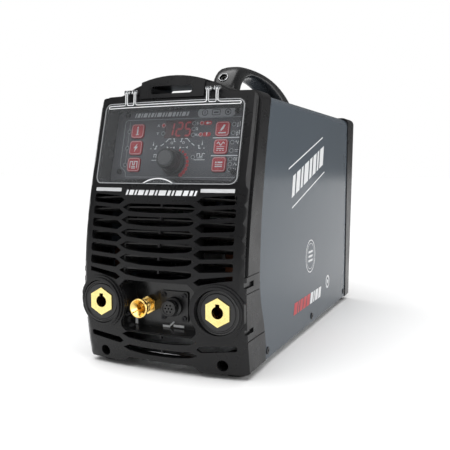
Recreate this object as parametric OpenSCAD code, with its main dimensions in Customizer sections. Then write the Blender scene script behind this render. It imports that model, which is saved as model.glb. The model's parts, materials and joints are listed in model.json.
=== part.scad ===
// TIG welding inverter: plastic end mouldings, wrapped steel cover, hinged clear cover,
// control panel, weld sockets, fan and the power electronics inside.
// Every module is drawn with x = 0 on the centre line, y = 0 near the front face and z = 0 just
// below the mouldings; stand() then moves the origin to the centre of the footprint on the ground.

/* [Case] */
// Overall width over the plastic end mouldings
case_w = 200; // [198:1:204]
// Distance from the front datum to the rearmost edge
case_back = 500; // [496:1:510]
// Height of the flat shoulders of the end mouldings
shoulder_z = 301; // [300:0.5:302]
// Height of the top of the arch
arch_top = 319.5; // [318:0.5:322]
// Radius of the arch
arch_r = 132; // [126:1:140]
// Radius of the blend between arch and shoulder
arch_blend = 30; // [24:1:34]
// Radius of the upper outside corners
corner_r = 10; // [8:1:12]
// Height of the lower edge of the mouldings in the drawing
foot_gap = 1.5; // [1:0.5:2]
// Height of the rubber feet below the mouldings
foot_h = 6.5; // [5:0.5:7]
// Radius of the rubber feet
foot_r = 16; // [14:0.5:18]

/* [Front face] */
// Forward swell of the face in plan, centre against edge
swell_edge = 95; // [94:1:96]
// Distance behind the datum of the axis that the face is turned about
swell_axis = 498; // [460:1:540]
// Backward lean of the upper face, millimetres per millimetre of height
lean = 0.27; // [0.25:0.01:0.29]
// Height where the curved lower face meets the leaning upper face
lean_z = 200; // [199:1:201]
// Distance behind the datum of that height
lean_y = 16; // [15:1:17]
// Thickness of the front wall
face_wall = 4; // [3:0.5:4.5]
// Depth of the shadow groove behind the front frame
groove_depth = 6; // [5:0.5:7]

/* [Grille] */
// Height of a grille slot
slot_h = 9.6; // [9:0.1:10]
// Height step between rows
slot_pitch = 13.7; // [13.4:0.1:14]
// Height of the top centre slot
centre_top = 175.4; // [174:0.2:176]
// Height of the top side slots
side_top = 183.2; // [182.6:0.2:183.6]
// Half length of a centre slot
centre_half = 46; // [45:0.5:46.5]
// Distance of the side slots' outer end from the centre line
side_end = 87; // [86:0.5:88]

/* [Control panel] */
// Width of the window in the front moulding
window_w = 166; // [160:1:168]
// Height of the window, measured along the face
window_h = 87; // [86:1:88]
// Depth of the panel behind the face, square to it
panel_depth = 17.4; // [16.5:0.1:18]
// Size of a square key
key_size = 16.8; // [16:0.1:17.2]
// Step between keys
key_pitch = 20; // [19.6:0.1:20.4]
// Travel of a key
key_travel = 0.9; // [0.6:0.1:1]
// Radius of the knob's skirt
knob_r = 14.2; // [13:0.1:14.6]
// Height of the knob
knob_h = 20.5; // [15:0.5:21]
// Offset of the knob from the middle of the panel
knob_x = -2.2; // [-3:0.1:3]

/* [Sockets] */
// Distance of the weld sockets from the centre line
socket_x = 71.4; // [71:0.1:72]
// Height of the weld sockets
socket_z = 69.4; // [69:0.1:70]
// Radius of the bore that takes the plug
socket_bore = 6.6; // [6.4:0.1:7]
// Size of the brass hexagon across its flats
socket_af = 27; // [26:0.5:27.5]

/* [Fan] */
// Radius swept by the fan blades
fan_r = 56; // [52:1:57]
// Number of fan blades
fan_blades = 7; // [5:1:9]

/* [Hidden] */

$fn = 48;
touch = 0.01;
gap = 0.3;
skin_fn = 360;
lean_a = atan(lean);
top_z = 330;
nose = 7.7;
stand_y = (nose - case_back) / 2;

// Shades
black_c = [0.13, 0.13, 0.135];
dark_c = [0.2, 0.2, 0.21];
fascia_c = [0.36, 0.38, 0.41];
panel_c = [0.36, 0.4, 0.45];
steel_c = [0.72, 0.73, 0.75];
alu_c = [0.78, 0.79, 0.8];
brass_c = [0.9, 0.72, 0.3];
copper_c = [0.8, 0.47, 0.3];
red_c = [0.72, 0.18, 0.2];
board_c = [0.1, 0.35, 0.2];

// ---------- shared geometry ----------

function bez(p, t) = pow(1 - t, 3) * p[0] + 3 * pow(1 - t, 2) * t * p[1]
    + 3 * (1 - t) * t * t * p[2] + t * t * t * p[3];
function bez_pts(p, n) = [for (k = [0:n]) bez(p, k / n)];
function arc(c, r, a0, a1, n) = [for (k = [0:n]) let (a = a0 + (a1 - a0) * k / n)
    c + r * [cos(a), sin(a)]];
function mirrored(pts) = [for (k = [len(pts) - 1:-1:0]) [-pts[k][0], pts[k][1]]];

// Side view of the face at its outer edge: distance behind the datum, and height
face_curve = [[12, 0], [2, 52], [-8, 104], [lean_y, lean_z]];
face_line = concat(bez_pts(face_curve, 14), [[lean_y + lean * (top_z - lean_z), top_z]]);

// Rear edge of the front moulding in side view
seam_low = [[64.3, 14], [64.3, 50], [44.7, 62], [44.7, 100]];
seam_high = [[44.7, 100], [44.7, 165], [60, 235], [80, 301]];
seam_line = concat([[64.3, -5]], bez_pts(seam_low, 8),
                   [for (k = [1:9]) bez(seam_high, k / 9)], [[80, top_z]]);

// Everything behind a face that is turned about an upright axis and set back by depth
module skin(depth, axis = swell_axis, edge = swell_edge) {
    pts = [for (p = face_line) [norm([axis - p[0] - depth, edge]), p[1]]];
    translate([0, axis, 0])
        rotate_extrude($fn = skin_fn)
            polygon(concat([[0, 0]], pts, [[0, top_z]]));
}

// The same face with a tighter turn, which rounds the upright edges
module edge_skin() {
    skin(-0.3, axis = 125, edge = 93.5);
}

// A flat shape in x and z, extruded from y0 to y1
module slab(y0, y1) {
    translate([0, y1, 0])
        rotate([90, 0, 0])
            linear_extrude(y1 - y0)
                children();
}

// A flat shape in y and z, extruded from x0 to x1
module side_slab(x0, x1) {
    translate([x0, 0, 0])
        rotate([90, 0, 90])
            linear_extrude(x1 - x0)
                children();
}

// A frame that lies on the leaning face: x across, y square into it, z up along it
module on_face() {
    translate([0, lean_y, lean_z])
        rotate([-lean_a, 0, 0])
            children();
}

module rounded_rect(w, h, r) {
    polygon(concat(arc([w / 2 - r, h / 2 - r], r, 0, 90, 6),
                   arc([-w / 2 + r, h / 2 - r], r, 90, 180, 6),
                   arc([-w / 2 + r, -h / 2 + r], r, 180, 270, 6),
                   arc([w / 2 - r, -h / 2 + r], r, 270, 360, 6)));
}

// A cylinder along y from y0 to y1
module rod_y(x, z, r, y0, y1) {
    translate([x, y1, z])
        rotate([90, 0, 0])
            cylinder(r = r, h = y1 - y0);
}

module tube_y(x, z, r_out, r_in, y0, y1) {
    difference() {
        rod_y(x, z, r_out, y0, y1);
        rod_y(x, z, r_in, y0 - 1, y1 + 1);
    }
}

// A six-sided bar along y, with a corner at the top
module hex_y(x, z, af, y0, y1) {
    translate([x, y1, z])
        rotate([90, 0, 0])
            rotate([0, 0, 30])
                cylinder(r = af / sqrt(3), h = y1 - y0, $fn = 6);
}

module box(x0, x1, y0, y1, z0, z1) {
    translate([x0, y0, z0])
        cube([x1 - x0, y1 - y0, z1 - z0]);
}

// Copies on both sides of the centre line
module both_sides() {
    children();
    mirror([1, 0, 0])
        children();
}

// Outline of the end mouldings, set in by i; the middle of the underside is raised by notch
function outline_half(i, notch) =
    let (half = case_w / 2 - i,
         r = max(corner_r - i, 0.6),
         side = case_w / 2 - max(corner_r, i + 0.6),
         shoulder = shoulder_z - max(corner_r, i + 0.6),
         zc = arch_top - arch_r,
         bz = shoulder_z + arch_blend,
         bx = sqrt(pow(arch_r + arch_blend, 2) - pow(bz - zc, 2)),
         a = atan2(bz - zc, bx),
         low = foot_gap + i)
    concat([[39.5, low + notch], [39.5 + notch * 1.4, low], [half - 2, low], [half, low + 2]],
           arc([side, shoulder], r, 0, 90, 6),
           arc([bx, bz], arch_blend + i, 270, 180 + a, 6),
           arc([0, zc], arch_r - i, a, 90 - 2, 7));

module end_outline(i, notch = 6) {
    half = outline_half(i, notch);
    polygon(concat(half, mirrored(half)));
}

// Outline of the wrapped steel cover, set in by i
cover_half_w = case_w / 2 - 1.3;
cover_top = shoulder_z - 2.2;
cover_r = 12;
cover_t = 1.2;
cover_low = 3.2;
module cover_outline(i, low = cover_low) {
    r = max(cover_r - i, 1);
    half = cover_half_w - i;
    pts = concat([[half, low]], arc([half - r, cover_top - i - r], r, 0, 90, 7));
    polygon(concat(pts, mirrored(pts)));
}

// ---------- front moulding ----------

frame_inset = 2.2;
split_z = 106;
block_half = 39.5;
tab_x = 3;

function slot_bow(x, bow) = bow * pow(x / centre_half, 2);

// A slot with pointed ends; a short rib hangs from its top edge near the middle
function centre_slot(z, h, bow) =
    let (t = h / 2, c = centre_half - 8.5, mid = z - bow)
    concat([[-centre_half, z], [-c, z + t * 0.9]],
           [[-c / 2, mid + t + slot_bow(c / 2, bow)]],
           [[tab_x, mid + t], [tab_x, mid + t - 3.4], [tab_x + 2, mid + t - 3.4], [tab_x + 2, mid + t]],
           [[c / 2 + 3, mid + t + slot_bow(c / 2, bow)]],
           [[c, z + t * 0.9], [centre_half, z], [c, z - t * 0.85]],
           [[c / 2, mid - t + slot_bow(c / 2, bow)], [0, mid - t]],
           [[-c / 2, mid - t + slot_bow(c / 2, bow)], [-c, z - t * 0.85]]);

// A side slot: pointed inside, blunt outside, rising a little outwards
function side_slot(z, h, rise, out) =
    let (t = h / 2)
    [[44, z], [51, z + t], [out - 2, z + t + rise], [out, z + t + rise - 1.5],
     [out, z - t + rise + 1.5], [out - 2, z - t + rise], [51, z - t]];

centre_rows = [for (k = [0:5]) [centre_top - slot_pitch * k, slot_h, 0.5 + 0.3 * k]];
side_rows = [for (k = [0:5]) side_top - slot_pitch * k];

module grille_slots() {
    slab(-14, 18)
        for (row = centre_rows)
            polygon(centre_slot(row[0], row[1], row[2]));
    both_sides()
        slab(-14, 22)
            for (z = side_rows)
                polygon(side_slot(z, slot_h, 1.8, side_end));
    both_sides()
        slab(-14, 16)
            polygon([[44.5, 99.5], [51, 103.5], [side_end, 108], [side_end, 103],
                     [71, 100.8], [55, 97.4], [50, 96]]);
}

module lower_slots() {
    slab(-14, 22) {
        polygon(centre_slot(34.9, 9, 1.2));
        polygon(centre_slot(19.4, 8, 1.6));
    }
    both_sides()
        slab(-14, 26)
            polygon([[45, 26.6], [50, 30.6], [88, 34.2], [90, 32.6], [90, 29.2],
                     [88.5, 27.8], [50, 23.4]]);
}

boss_r = 29.5;
recess_lip = 1.9;
module recess_opening(grow = 0) {
    difference() {
        polygon([[-46 - grow, 44], [-41, 39 - grow], [41, 39 - grow], [46 + grow, 44],
                 [46 + grow, 90], [38, 97 + grow], [-38, 97 + grow], [-46 - grow, 90]]);
        for (s = [-1, 1])
            translate([s * socket_x, socket_z])
                circle(r = boss_r + recess_lip + 0.4 - grow);
    }
}

// Solid in front of the rear edge, moved back by d
module before_seam(d = 0) {
    side_slab(-case_w, case_w)
        polygon(concat([[-40, -5]], [for (p = seam_line) [p[0] + d, p[1]]], [[-40, top_z]]));
}

module bezel_mass() {
    intersection() {
        union() {
            difference() {
                union() {
                    intersection() {
                        slab(-20, 90)
                            end_outline(frame_inset);
                        skin(0);
                        edge_skin();
                    }
                    intersection() {
                        slab(-20, 90)
                            end_outline(0);
                        skin(groove_depth + 2);
                    }
                }
                // shadow groove round the frame, above the socket zone
                intersection() {
                    difference() {
                        skin(groove_depth);
                        skin(groove_depth + 2);
                        slab(-30, 120)
                            end_outline(frame_inset + 2.6);
                    }
                    box(-case_w, case_w, -30, 120, split_z, top_z);
                }
            }
            // full-width socket zone and feet
            intersection() {
                slab(-20, 90)
                    end_outline(0);
                skin(0);
                edge_skin();
                box(-case_w, case_w, -30, 120, 0, split_z);
            }
            // raised block between the hinge wires
            intersection() {
                slab(-20, 90)
                    end_outline(0);
                skin(-2);
                box(-block_half, block_half, 0, 70, 295, top_z);
            }
        }
        before_seam();
    }
}

module bezel_cavity() {
    intersection() {
        slab(-20, 72)
            end_outline(7);
        skin(face_wall);
    }
    intersection() {
        slab(-20, 120)
            cover_outline(2.2, low = foot_gap + 3);
        skin(groove_depth + 5.5);
    }
}

slot_half = 25.5;
slot_z = 303.8;
tunnel_w = 2 * slot_half;
pocket_wall = 2.6;
module window_shape(grow = 0) {
    translate([0, window_h / 2 + 4])
        rounded_rect(window_w + 2 * grow, window_h + 2 * grow, 6 + grow);
}

// Bolt holes low in the front, and the holes for the hinge pegs of the clear cover
bolt_x = 73;
bolt_z = 11;
peg_x = [48.4, 52.8];
peg_r = 1.3;
hinge_z = 302.6;

module socket_boss(r, proud) {
    both_sides()
        intersection() {
            rod_y(socket_x, socket_z, r, -20, 22);
            skin(-proud);
            box(0, case_w / 2 - 0.4, -20, 30, 0, 200);
        }
}

module front_bezel() {
    color(black_c)
    difference() {
        union() {
            difference() {
                bezel_mass();
                bezel_cavity();
            }
            // walls of the window tray
            intersection() {
                on_face()
                    slab(-12, panel_depth + 5)
                        window_shape(pocket_wall);
                skin(1);
            }
            // socket bosses, two steps that follow the face
            socket_boss(boss_r, 2.2);
            socket_boss(boss_r - 2.4, 4);
            // walls round the hand slot in the arch
            intersection() {
                slab(30, 79)
                    translate([0, slot_z])
                        rounded_rect(tunnel_w + 6, 14.4, 5);
                skin(1);
            }
            // bolt bosses in the feet
            both_sides()
                intersection() {
                    rod_y(bolt_x, bolt_z, 8.4, -10, 40);
                    skin(1);
                }
            // lip that reaches under the steel cover
            intersection() {
                difference() {
                    slab(30, 110)
                        cover_outline(cover_t + gap);
                    slab(20, 111)
                        cover_outline(cover_t + gap + 2, low = foot_gap + 3);
                }
                before_seam(8);
                skin(2);
                box(-case_w, case_w, 0, 120, 32, 295.6);
            }
        }
        // window, with a ledge that carries the panel
        on_face()
            slab(-30, panel_depth + 2.4)
                window_shape();
        on_face()
            slab(-30, panel_depth + 12)
                window_shape(-4);
        grille_slots();
        lower_slots();
        slab(-20, 18)
            recess_opening();
        both_sides()
            rod_y(socket_x, socket_z, 24.4, -12, 5);
        both_sides()
            rod_y(socket_x, socket_z, 15.4, 0, 30);
        slab(10, 90)
            translate([0, slot_z])
                rounded_rect(tunnel_w, 8.6, 3);
        both_sides() {
            rod_y(bolt_x, bolt_z, 6.2, -10, 30);
            rod_y(bolt_x, bolt_z, 3.3, 29, 42);
            foot_hole(foot_spots[0]);
        }
        for (x = peg_x)
            both_sides()
                rod_y(x, hinge_z, peg_r + 0.12, 20, 52);
        // notches in the ledge round the panel screws
        for (p = screw_spots)
            face_rod(p[0], p[1], 3.7, panel_front + panel_t - 0.2, board_front + 8);
        // relief steps that run round the side of the socket zone
        both_sides()
            box(case_w / 2 - 2.4, case_w, -20, 26, 95, 101);
        both_sides()
            box(case_w / 2 - 2.4, case_w, -20, 26, 46, 51);
        both_sides()
            for (z = [107, 89, 38])
                box(case_w / 2 - 0.8, case_w, -20, 90, z - 0.6, z + 0.6);
    }
}

// Slanted blades behind the grille, in one moulded insert
louvre_a = 24;
module blade(x0, x1, z, y_ref) {
    translate([0, y_ref, z])
        rotate([-louvre_a, 0, 0])
            box(x0, x1, -9, 14, -1.4, 0);
}

module grille_louvres() {
    color(dark_c)
    intersection() {
        union() {
            for (row = centre_rows)
                blade(-41, 41, row[0] - row[2] + row[1] / 2, -1);
            both_sides()
                for (z = side_rows)
                    blade(42, 91, z + slot_h / 2 + 1.4, 6);
            for (x = [-91.5, -43, 40.5, 89])
                box(x, x + 2.5, -20, 24, 100.5, 192);
        }
        skin(face_wall + gap);
        slab(-30, 24)
            polygon([[-91.5, 106], [-60, 101.5], [60, 101.5], [91.5, 106], [91.5, 192], [-91.5, 192]]);
    }
}

// Two bright bars above the grille
module trim_bars() {
    color(steel_c)
    difference() {
        intersection() {
            slab(-20, 40)
                for (x = [-68.1, 65.9])
                    translate([x, 194.4])
                        rounded_rect(36.8, 3.9, 0.6);
            skin(-0.6);
        }
        skin(-0.04);
    }
}

// Pocket behind the recess: side walls, sloping lower ledge and the plate that carries the sockets
recess_back = 22;
gas_x = -23;
gas_z = 65.6;
plug_x = 8.7;
plug_z = 66;
module connector_panel() {
    color(black_c)
    difference() {
        intersection() {
            slab(-10, recess_back + 2)
                recess_opening(recess_lip);
            skin(face_wall + gap);
        }
        slab(-12, recess_back)
            difference() {
                recess_opening();
                translate([-60, 30])
                    square([120, 9.4]);
            }
        rod_y(gas_x, gas_z, 5.6, 10, 30);
        rod_y(plug_x, plug_z, 9.2, 10, 30);
    }
    color(black_c)
    intersection() {
        side_slab(-40.5, 40.5)
            polygon([[2, 39.6], [recess_back + 1, 39.6], [recess_back + 1, 41]]);
        skin(face_wall + gap);
    }
}

// ---------- control panel ----------

panel_front = panel_depth;
panel_t = 2;
key_rows = [67.2, 67.2 - key_pitch, 67.2 - 2 * key_pitch];
key_left = -53.3;
key_right = 54;
knob_s = 29.4;
board_front = panel_depth + 8.6;
display_s = 68.6;
screw_spots = [[-69.5, 87], [-71.5, 19], [69.5, 87], [71.5, 19]];

module face_box(x0, x1, d0, d1, s0, s1) {
    on_face()
        box(x0, x1, d0, d1, s0, s1);
}

// A round bar square to the face, from depth d0 to d1
module face_rod(x, s, r, d0, d1) {
    on_face()
        rod_y(x, s, r, d0, d1);
}

module control_panel() {
    color(fascia_c)
    difference() {
        on_face()
            slab(panel_front, panel_front + panel_t)
                window_shape(-gap);
        on_face()
            slab(panel_front - 1, panel_front + panel_t + 1) {
                for (x = [key_left, key_right])
                    for (s = key_rows)
                        translate([x, s])
                            rounded_rect(key_size + 0.6, key_size + 0.6, 3.6);
                translate([0, display_s])
                    rounded_rect(37, 21, 1.5);
            }
        face_rod(knob_x, knob_s, 5, panel_front - 1, panel_front + panel_t + 1);
        for (p = screw_spots)
            face_rod(p[0], p[1], 1.7, panel_front - 1, panel_front + panel_t + 1);
    }
}

module display_window() {
    color([0.25, 0.05, 0.06])
    on_face()
        slab(panel_front + 0.1, panel_front + 1.5)
            translate([0, display_s])
                rounded_rect(36.6, 20.6, 1.3);
}

module display_module() {
    color([0.12, 0.12, 0.12]) {
        face_box(-17.5, 17.5, panel_front + 1.8, board_front, display_s - 9.5, display_s + 9.5);
    }
}

// Rows of small lamps, given as x and distance along the face
lamp_spots = concat([[-20.4, 73.4], [-20, 64], [18.1, 74.9], [27.7, 74.9], [18.1, 68.5],
                     [18.1, 61.6], [27.7, 61.8], [21.1, 35.8]],
                    [for (s = key_rows) [-65.5, s]],
                    [for (s = [72.4, 62.7, 52.3, 42.9, 33.5, 27.7, 21.7]) [66.6, s]]);
module indicator_leds() {
    color([0.6, 0.62, 0.65])
    for (p = lamp_spots)
        face_rod(p[0], p[1], 1.5, panel_front - 0.5, panel_front - 0.02);
}

module control_board() {
    color(board_c)
    difference() {
        face_box(-76, 76, board_front, board_front + 1.6, 9, 90);
        for (p = screw_spots)
            face_rod(p[0], p[1], 1.7, board_front - 1, board_front + 3);
    }
    // switches under the keys and the standoffs
    color([0.1, 0.1, 0.1]) {
        for (x = [key_left, key_right])
            for (s = key_rows)
                face_rod(x, s, 3, board_front - 2.6, board_front + touch);
        for (p = screw_spots)
            on_face()
                tube_y(p[0], p[1], 3.2, 1.7, panel_front + panel_t + 0.1, board_front + touch);
    }
}

module panel_screws() {
    color(dark_c)
    for (p = screw_spots) {
        difference() {
            face_rod(p[0], p[1], 3.1, panel_front - 1.8, panel_front - 0.05);
            face_box(p[0] - 2.2, p[0] + 2.2, panel_front - 3, panel_front - 1, p[1] - 0.4, p[1] + 0.4);
            face_box(p[0] - 0.4, p[0] + 0.4, panel_front - 3, panel_front - 1, p[1] - 2.2, p[1] + 2.2);
        }
        face_rod(p[0], p[1], 1.5, panel_front - 0.1, board_front + 4);
    }
}

shaft_r = 3;
module encoder_body() {
    color(steel_c)
    difference() {
        union() {
            face_box(knob_x - 6, knob_x + 6, board_front - 6, board_front - 0.05,
                     knob_s - 6.5, knob_s + 6.5);
            face_rod(knob_x, knob_s, 4.5, panel_front - 1, board_front - 3);
        }
        face_rod(knob_x, knob_s, shaft_r + 0.05, panel_front - 4, board_front - 1);
    }
}

module encoder_shaft() {
    color(steel_c)
        face_rod(knob_x, knob_s, shaft_r, panel_front - 13, board_front - 1.5);
}

// Turned knob: wide skirt, tapered grip and a domed face
module knob() {
    color([0.3, 0.3, 0.31])
    on_face()
        translate([knob_x, panel_front - 1.4, knob_s])
            rotate([90, 0, 0])
                difference() {
                    rotate_extrude($fn = 96)
                        polygon([[0, 0], [knob_r, 0], [knob_r, 1.6], [knob_r - 1.2, 3.4],
                                 [knob_r - 2.3, 4.4], [knob_r - 3, knob_h - 2.6],
                                 [knob_r - 3.5, knob_h - 1.2], [knob_r - 4.4, knob_h - 0.4],
                                 [knob_r - 6, knob_h], [0, knob_h]]);
                    translate([0, 0, -1])
                        cylinder(r = shaft_r + 0.02, h = 13);
                    rotate_extrude($fn = 96)
                        translate([0, -1])
                            square([6, 3.6]);
                    for (a = [0:20:340])
                        rotate([0, 0, a])
                            translate([knob_r - 2.0, 0, 5])
                                cylinder(r = 0.6, h = knob_h - 8, $fn = 16);
                }
}

// A key: raised square cap with a stem that works a switch on the board
module key(x, s) {
    color(red_c) {
        on_face() {
            slab(panel_front - 1.6, panel_front + 3)
                translate([x, s])
                    rounded_rect(key_size, key_size, 3.4);
            rod_y(x, s, 2.2, panel_front + 2, board_front - 2.6 - key_travel - 0.3);
        }
    }
}

module key_info() { key(key_left, key_rows[0]); }
module key_strike() { key(key_left, key_rows[1]); }
module key_pulse() { key(key_left, key_rows[2]); }
module key_torch() { key(key_right, key_rows[0]); }
module key_current() { key(key_right, key_rows[1]); }
module key_trigger() { key(key_right, key_rows[2]); }

// ---------- hinged clear cover ----------

cover_w = 173.6;
cover_s0 = 200.8;
cover_s1 = 291.3;
hinge_y = 32.8;
pin_r = 1.1;
eye_r = 2.4;
washer_r = 2.5;
lug_w = 3.4;
lug_x = [43.4, 54.4];
tab_r = 35;
tab_drop = 28;
module clear_cover() {
    color([0.75, 0.78, 0.82, 0.35])
    difference() {
        union() {
            // curved sheet that follows the face
            difference() {
                intersection() {
                    slab(-20, 60)
                        translate([0, (cover_s0 + cover_s1) / 2])
                            rounded_rect(cover_w, cover_s1 - cover_s0, 8);
                    skin(-2.2);
                }
                skin(-0.5);
            }
            // raised rim
            difference() {
                intersection() {
                    slab(-20, 60)
                        difference() {
                            translate([0, (cover_s0 + cover_s1) / 2])
                                rounded_rect(cover_w, cover_s1 - cover_s0, 8);
                            translate([0, (cover_s0 + cover_s1) / 2])
                                rounded_rect(cover_w - 3, cover_s1 - cover_s0 - 3, 6.6);
                        }
                    skin(-3);
                }
                skin(-0.5);
            }
            // thumb lip
            difference() {
                intersection() {
                    slab(-20, 60)
                        intersection() {
                            translate([0, cover_s0 - tab_drop])
                                circle(r = tab_r);
                            translate([-30, cover_s0 + 0.4])
                                square([60, 20]);
                        }
                    skin(-6.5);
                }
                skin(-0.5);
                intersection() {
                    slab(-20, 60)
                        intersection() {
                            translate([0, cover_s0 - tab_drop - 1.8])
                                circle(r = tab_r);
                            translate([-30, cover_s0 - 5])
                                square([60, 20]);
                        }
                    difference() {
                        skin(-5);
                        skin(-2.2);
                    }
                }
            }
            // lugs that reach up to the hinge pins
            both_sides()
                for (x = lug_x)
                    side_slab(x, x + lug_w) {
                        polygon([[30.1, cover_s1 - 3.6], [31.9, cover_s1 - 3.6],
                                 [hinge_y + 0.9, hinge_z], [hinge_y - 1.2, hinge_z]]);
                        translate([hinge_y, hinge_z])
                            circle(r = eye_r);
                    }
        }
        both_sides()
            side_slab(lug_x[0] - 1, lug_x[1] + lug_w + 1)
                translate([hinge_y, hinge_z])
                    circle(r = pin_r + 0.08);
    }
}

// Bent wires that carry the cover: a pin through each knuckle and two legs into the moulding
module hinge_wires() {
    color(steel_c)
    both_sides() {
        side_slab(lug_x[0] - 1.5, lug_x[1] + lug_w + 1.5)
            translate([hinge_y, hinge_z])
                circle(r = pin_r);
        for (x = [lug_x[0] - 1.2, lug_x[1] + lug_w + 0.3])
            side_slab(x, x + 0.9)
                translate([hinge_y, hinge_z])
                    circle(r = washer_r);
        for (x = peg_x) {
            rod_y(x, hinge_z, peg_r, hinge_y - 1.6, 44);
            side_slab(x - peg_r, x + peg_r)
                translate([hinge_y, hinge_z])
                    circle(r = washer_r);
        }
    }
}

// ---------- front sockets ----------

face_y = -2.2;
hex_deep = 6.4;
barrel_r = 11.6;
module socket(side) {
    color(black_c)
    difference() {
        translate([side * socket_x, face_y, socket_z])
            rotate([-90, 0, 0])
                rotate_extrude($fn = 96)
                    polygon([[0, 0], [19.6, 0], [20.2, 1], [21.6, 1], [22.2, -0.6], [23.4, -0.6],
                             [24.1, 0.4], [24.1, 7], [15.1, 7], [15.1, 34], [0, 34]]);
        hex_y(side * socket_x, socket_z, socket_af + 0.3, face_y - 2, face_y + hex_deep + 0.1);
        rod_y(side * socket_x, socket_z, barrel_r + 0.2, face_y, face_y + 24.1);
        rod_y(side * socket_x, socket_z, 6.2, face_y + 20, face_y + 40);
    }
}

module socket_left() { socket(-1); }
module socket_right() { socket(1); }

// Brass insert: hexagon with a keyed bore, and a stud for the busbar behind
module insert(side) {
    color(brass_c)
    difference() {
        union() {
            hex_y(side * socket_x, socket_z, socket_af, face_y - 1.4, face_y + hex_deep);
            rod_y(side * socket_x, socket_z, barrel_r, face_y + hex_deep - 1, face_y + 24);
            rod_y(side * socket_x, socket_z, 6, face_y + 23, face_y + 52);
        }
        rod_y(side * socket_x, socket_z, socket_bore, face_y - 3, face_y + 21);
        // key slot at the top of the bore, ending in a turned groove
        box(side * socket_x - 2.4, side * socket_x + 2.4, face_y - 3, face_y + 9,
            socket_z, socket_z + 9);
        rod_y(side * socket_x, socket_z, 9, face_y + 9, face_y + 13.5);
    }
}

module insert_left() { insert(-1); }
module insert_right() { insert(1); }

module socket_nuts() {
    color(dark_c)
    both_sides()
        difference() {
            hex_y(socket_x, socket_z, 38, 22.2, 28.4);
            rod_y(socket_x, socket_z, 15.2, 20, 30);
        }
}

// Torch gas fitting: flared lip, threaded neck, hexagon, and a tail for the hose
module gas_outlet() {
    color(brass_c)
    difference() {
        union() {
            translate([gas_x, -4.4, gas_z])
                rotate([-90, 0, 0])
                    rotate_extrude($fn = 72)
                        polygon([[0, 0], [10.2, 0], [10.8, 0.7], [10.9, 2.6], [10.2, 3.4],
                                 [7.2, 5.2], [6.6, 7], [6.6, 8.2], [7.2, 8.6], [7.2, 9.8], [6.6, 10.2],
                                 [6.6, 11.4], [7.2, 11.8], [7.2, 13], [6.6, 13.4], [6.6, 14.6],
                                 [7.2, 15], [7.2, 16.2], [6.6, 16.6], [6.6, 22], [0, 22]]);
            hex_y(gas_x, gas_z, 18, 15.6, recess_back - 0.05);
            rod_y(gas_x, gas_z, 5.4, 20, 36);
            translate([gas_x, 36, gas_z])
                rotate([-90, 0, 0])
                    rotate_extrude()
                        polygon([[0, -2], [3, -2], [3, 0], [3.9, 0.4], [3.2, 4], [3.9, 4.4],
                                 [3.2, 8], [3.9, 8.4], [3, 12], [0, 12]]);
        }
        rod_y(gas_x, gas_z, 1.8, -10, 60);
        rod_y(gas_x, gas_z, 4.6, -10, 12);
        translate([gas_x, -4.5, gas_z])
            rotate([-90, 0, 0])
                cylinder(r1 = 9.3, r2 = 4.5, h = 6);
    }
}

// Round control socket: square flange, threaded barrel and the pin insert
flange_half = 17;
plug_front = 5.6;
plug_screws = [[-12.6, -12.6], [12.6, -12.6], [-12.6, 12.6], [12.6, 12.6]];
module control_socket() {
    color(black_c)
    difference() {
        union() {
            slab(recess_back - 2.6, recess_back - 0.05)
                translate([plug_x, plug_z])
                    rounded_rect(2 * flange_half, 2 * flange_half, 2.5);
            translate([plug_x, plug_front, plug_z])
                rotate([-90, 0, 0])
                    rotate_extrude($fn = 72)
                        polygon([[0, 0], [8.2, 0], [8.7, 0.5], [8.7, 1.6], [8.2, 2.1], [8.2, 2.6],
                                 [8.7, 3.1], [8.7, 4.2], [8.2, 4.7], [8.2, 5.2], [8.7, 5.7],
                                 [8.7, 6.8], [8.2, 7.3], [8.2, 9], [10.6, 10], [10.6, 14.5],
                                 [9, 14.5], [9, 22], [0, 22]]);
        }
        rod_y(plug_x, plug_z, 7, plug_front - 1, plug_front + 30);
        for (p = plug_screws)
            rod_y(plug_x + p[0], plug_z + p[1], 1.7, 10, 30);
    }
}

pin_ring = 4;
module control_insert() {
    color(dark_c)
    difference() {
        rod_y(plug_x, plug_z, 6.9, plug_front + 0.8, plug_front + 22);
        rod_y(plug_x, plug_z, 0.9, plug_front, plug_front + 8);
        for (a = [0:60:300])
            rod_y(plug_x + pin_ring * cos(a), plug_z + pin_ring * sin(a), 0.9,
                  plug_front, plug_front + 8);
    }
}

module connector_screws() {
    color(dark_c)
    for (p = plug_screws)
        difference() {
            union() {
                rod_y(plug_x + p[0], plug_z + p[1], 2.9, recess_back - 4.2, recess_back - 2.65);
                rod_y(plug_x + p[0], plug_z + p[1], 1.5, recess_back - 3, recess_back - 0.1);
            }
            hex_y(plug_x + p[0], plug_z + p[1], 2.2, recess_back - 6, recess_back - 3.2);
        }
}

// ---------- case ----------

rear_seam = 456;
module wrap_cover() {
    color(panel_c)
    difference() {
        slab(30, rear_seam - gap)
            difference() {
                cover_outline(0);
                cover_outline(cover_t, low = cover_low - 1);
            }
        before_seam(gap);
        both_sides()
            for (y = cover_screw_y)
                translate([80, y, cover_screw_z])
                    rotate([0, 90, 0])
                        cylinder(r = 2.4, h = 30);
        for (y = handle_bolt_y)
            translate([0, y, 280])
                cylinder(r = 3.4, h = 30);
    }
}

cover_screw_y = [73.5, 254, 446];
cover_screw_z = 12.5;
module cover_screws() {
    color(dark_c)
    both_sides()
        for (y = cover_screw_y)
            translate([cover_half_w + 0.05, y, cover_screw_z])
                rotate([0, 90, 0])
                    difference() {
                        union() {
                            rotate_extrude()
                                polygon([[0, 0], [4.4, 0], [4.4, 0.5], [3.8, 1.15], [0, 1.2]]);
                            translate([0, 0, -6])
                                cylinder(r = 2, h = 7);
                        }
                        translate([0, 0, 0.5])
                            cylinder(r = 1.5, h = 2, $fn = 6);
                    }
}

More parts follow.
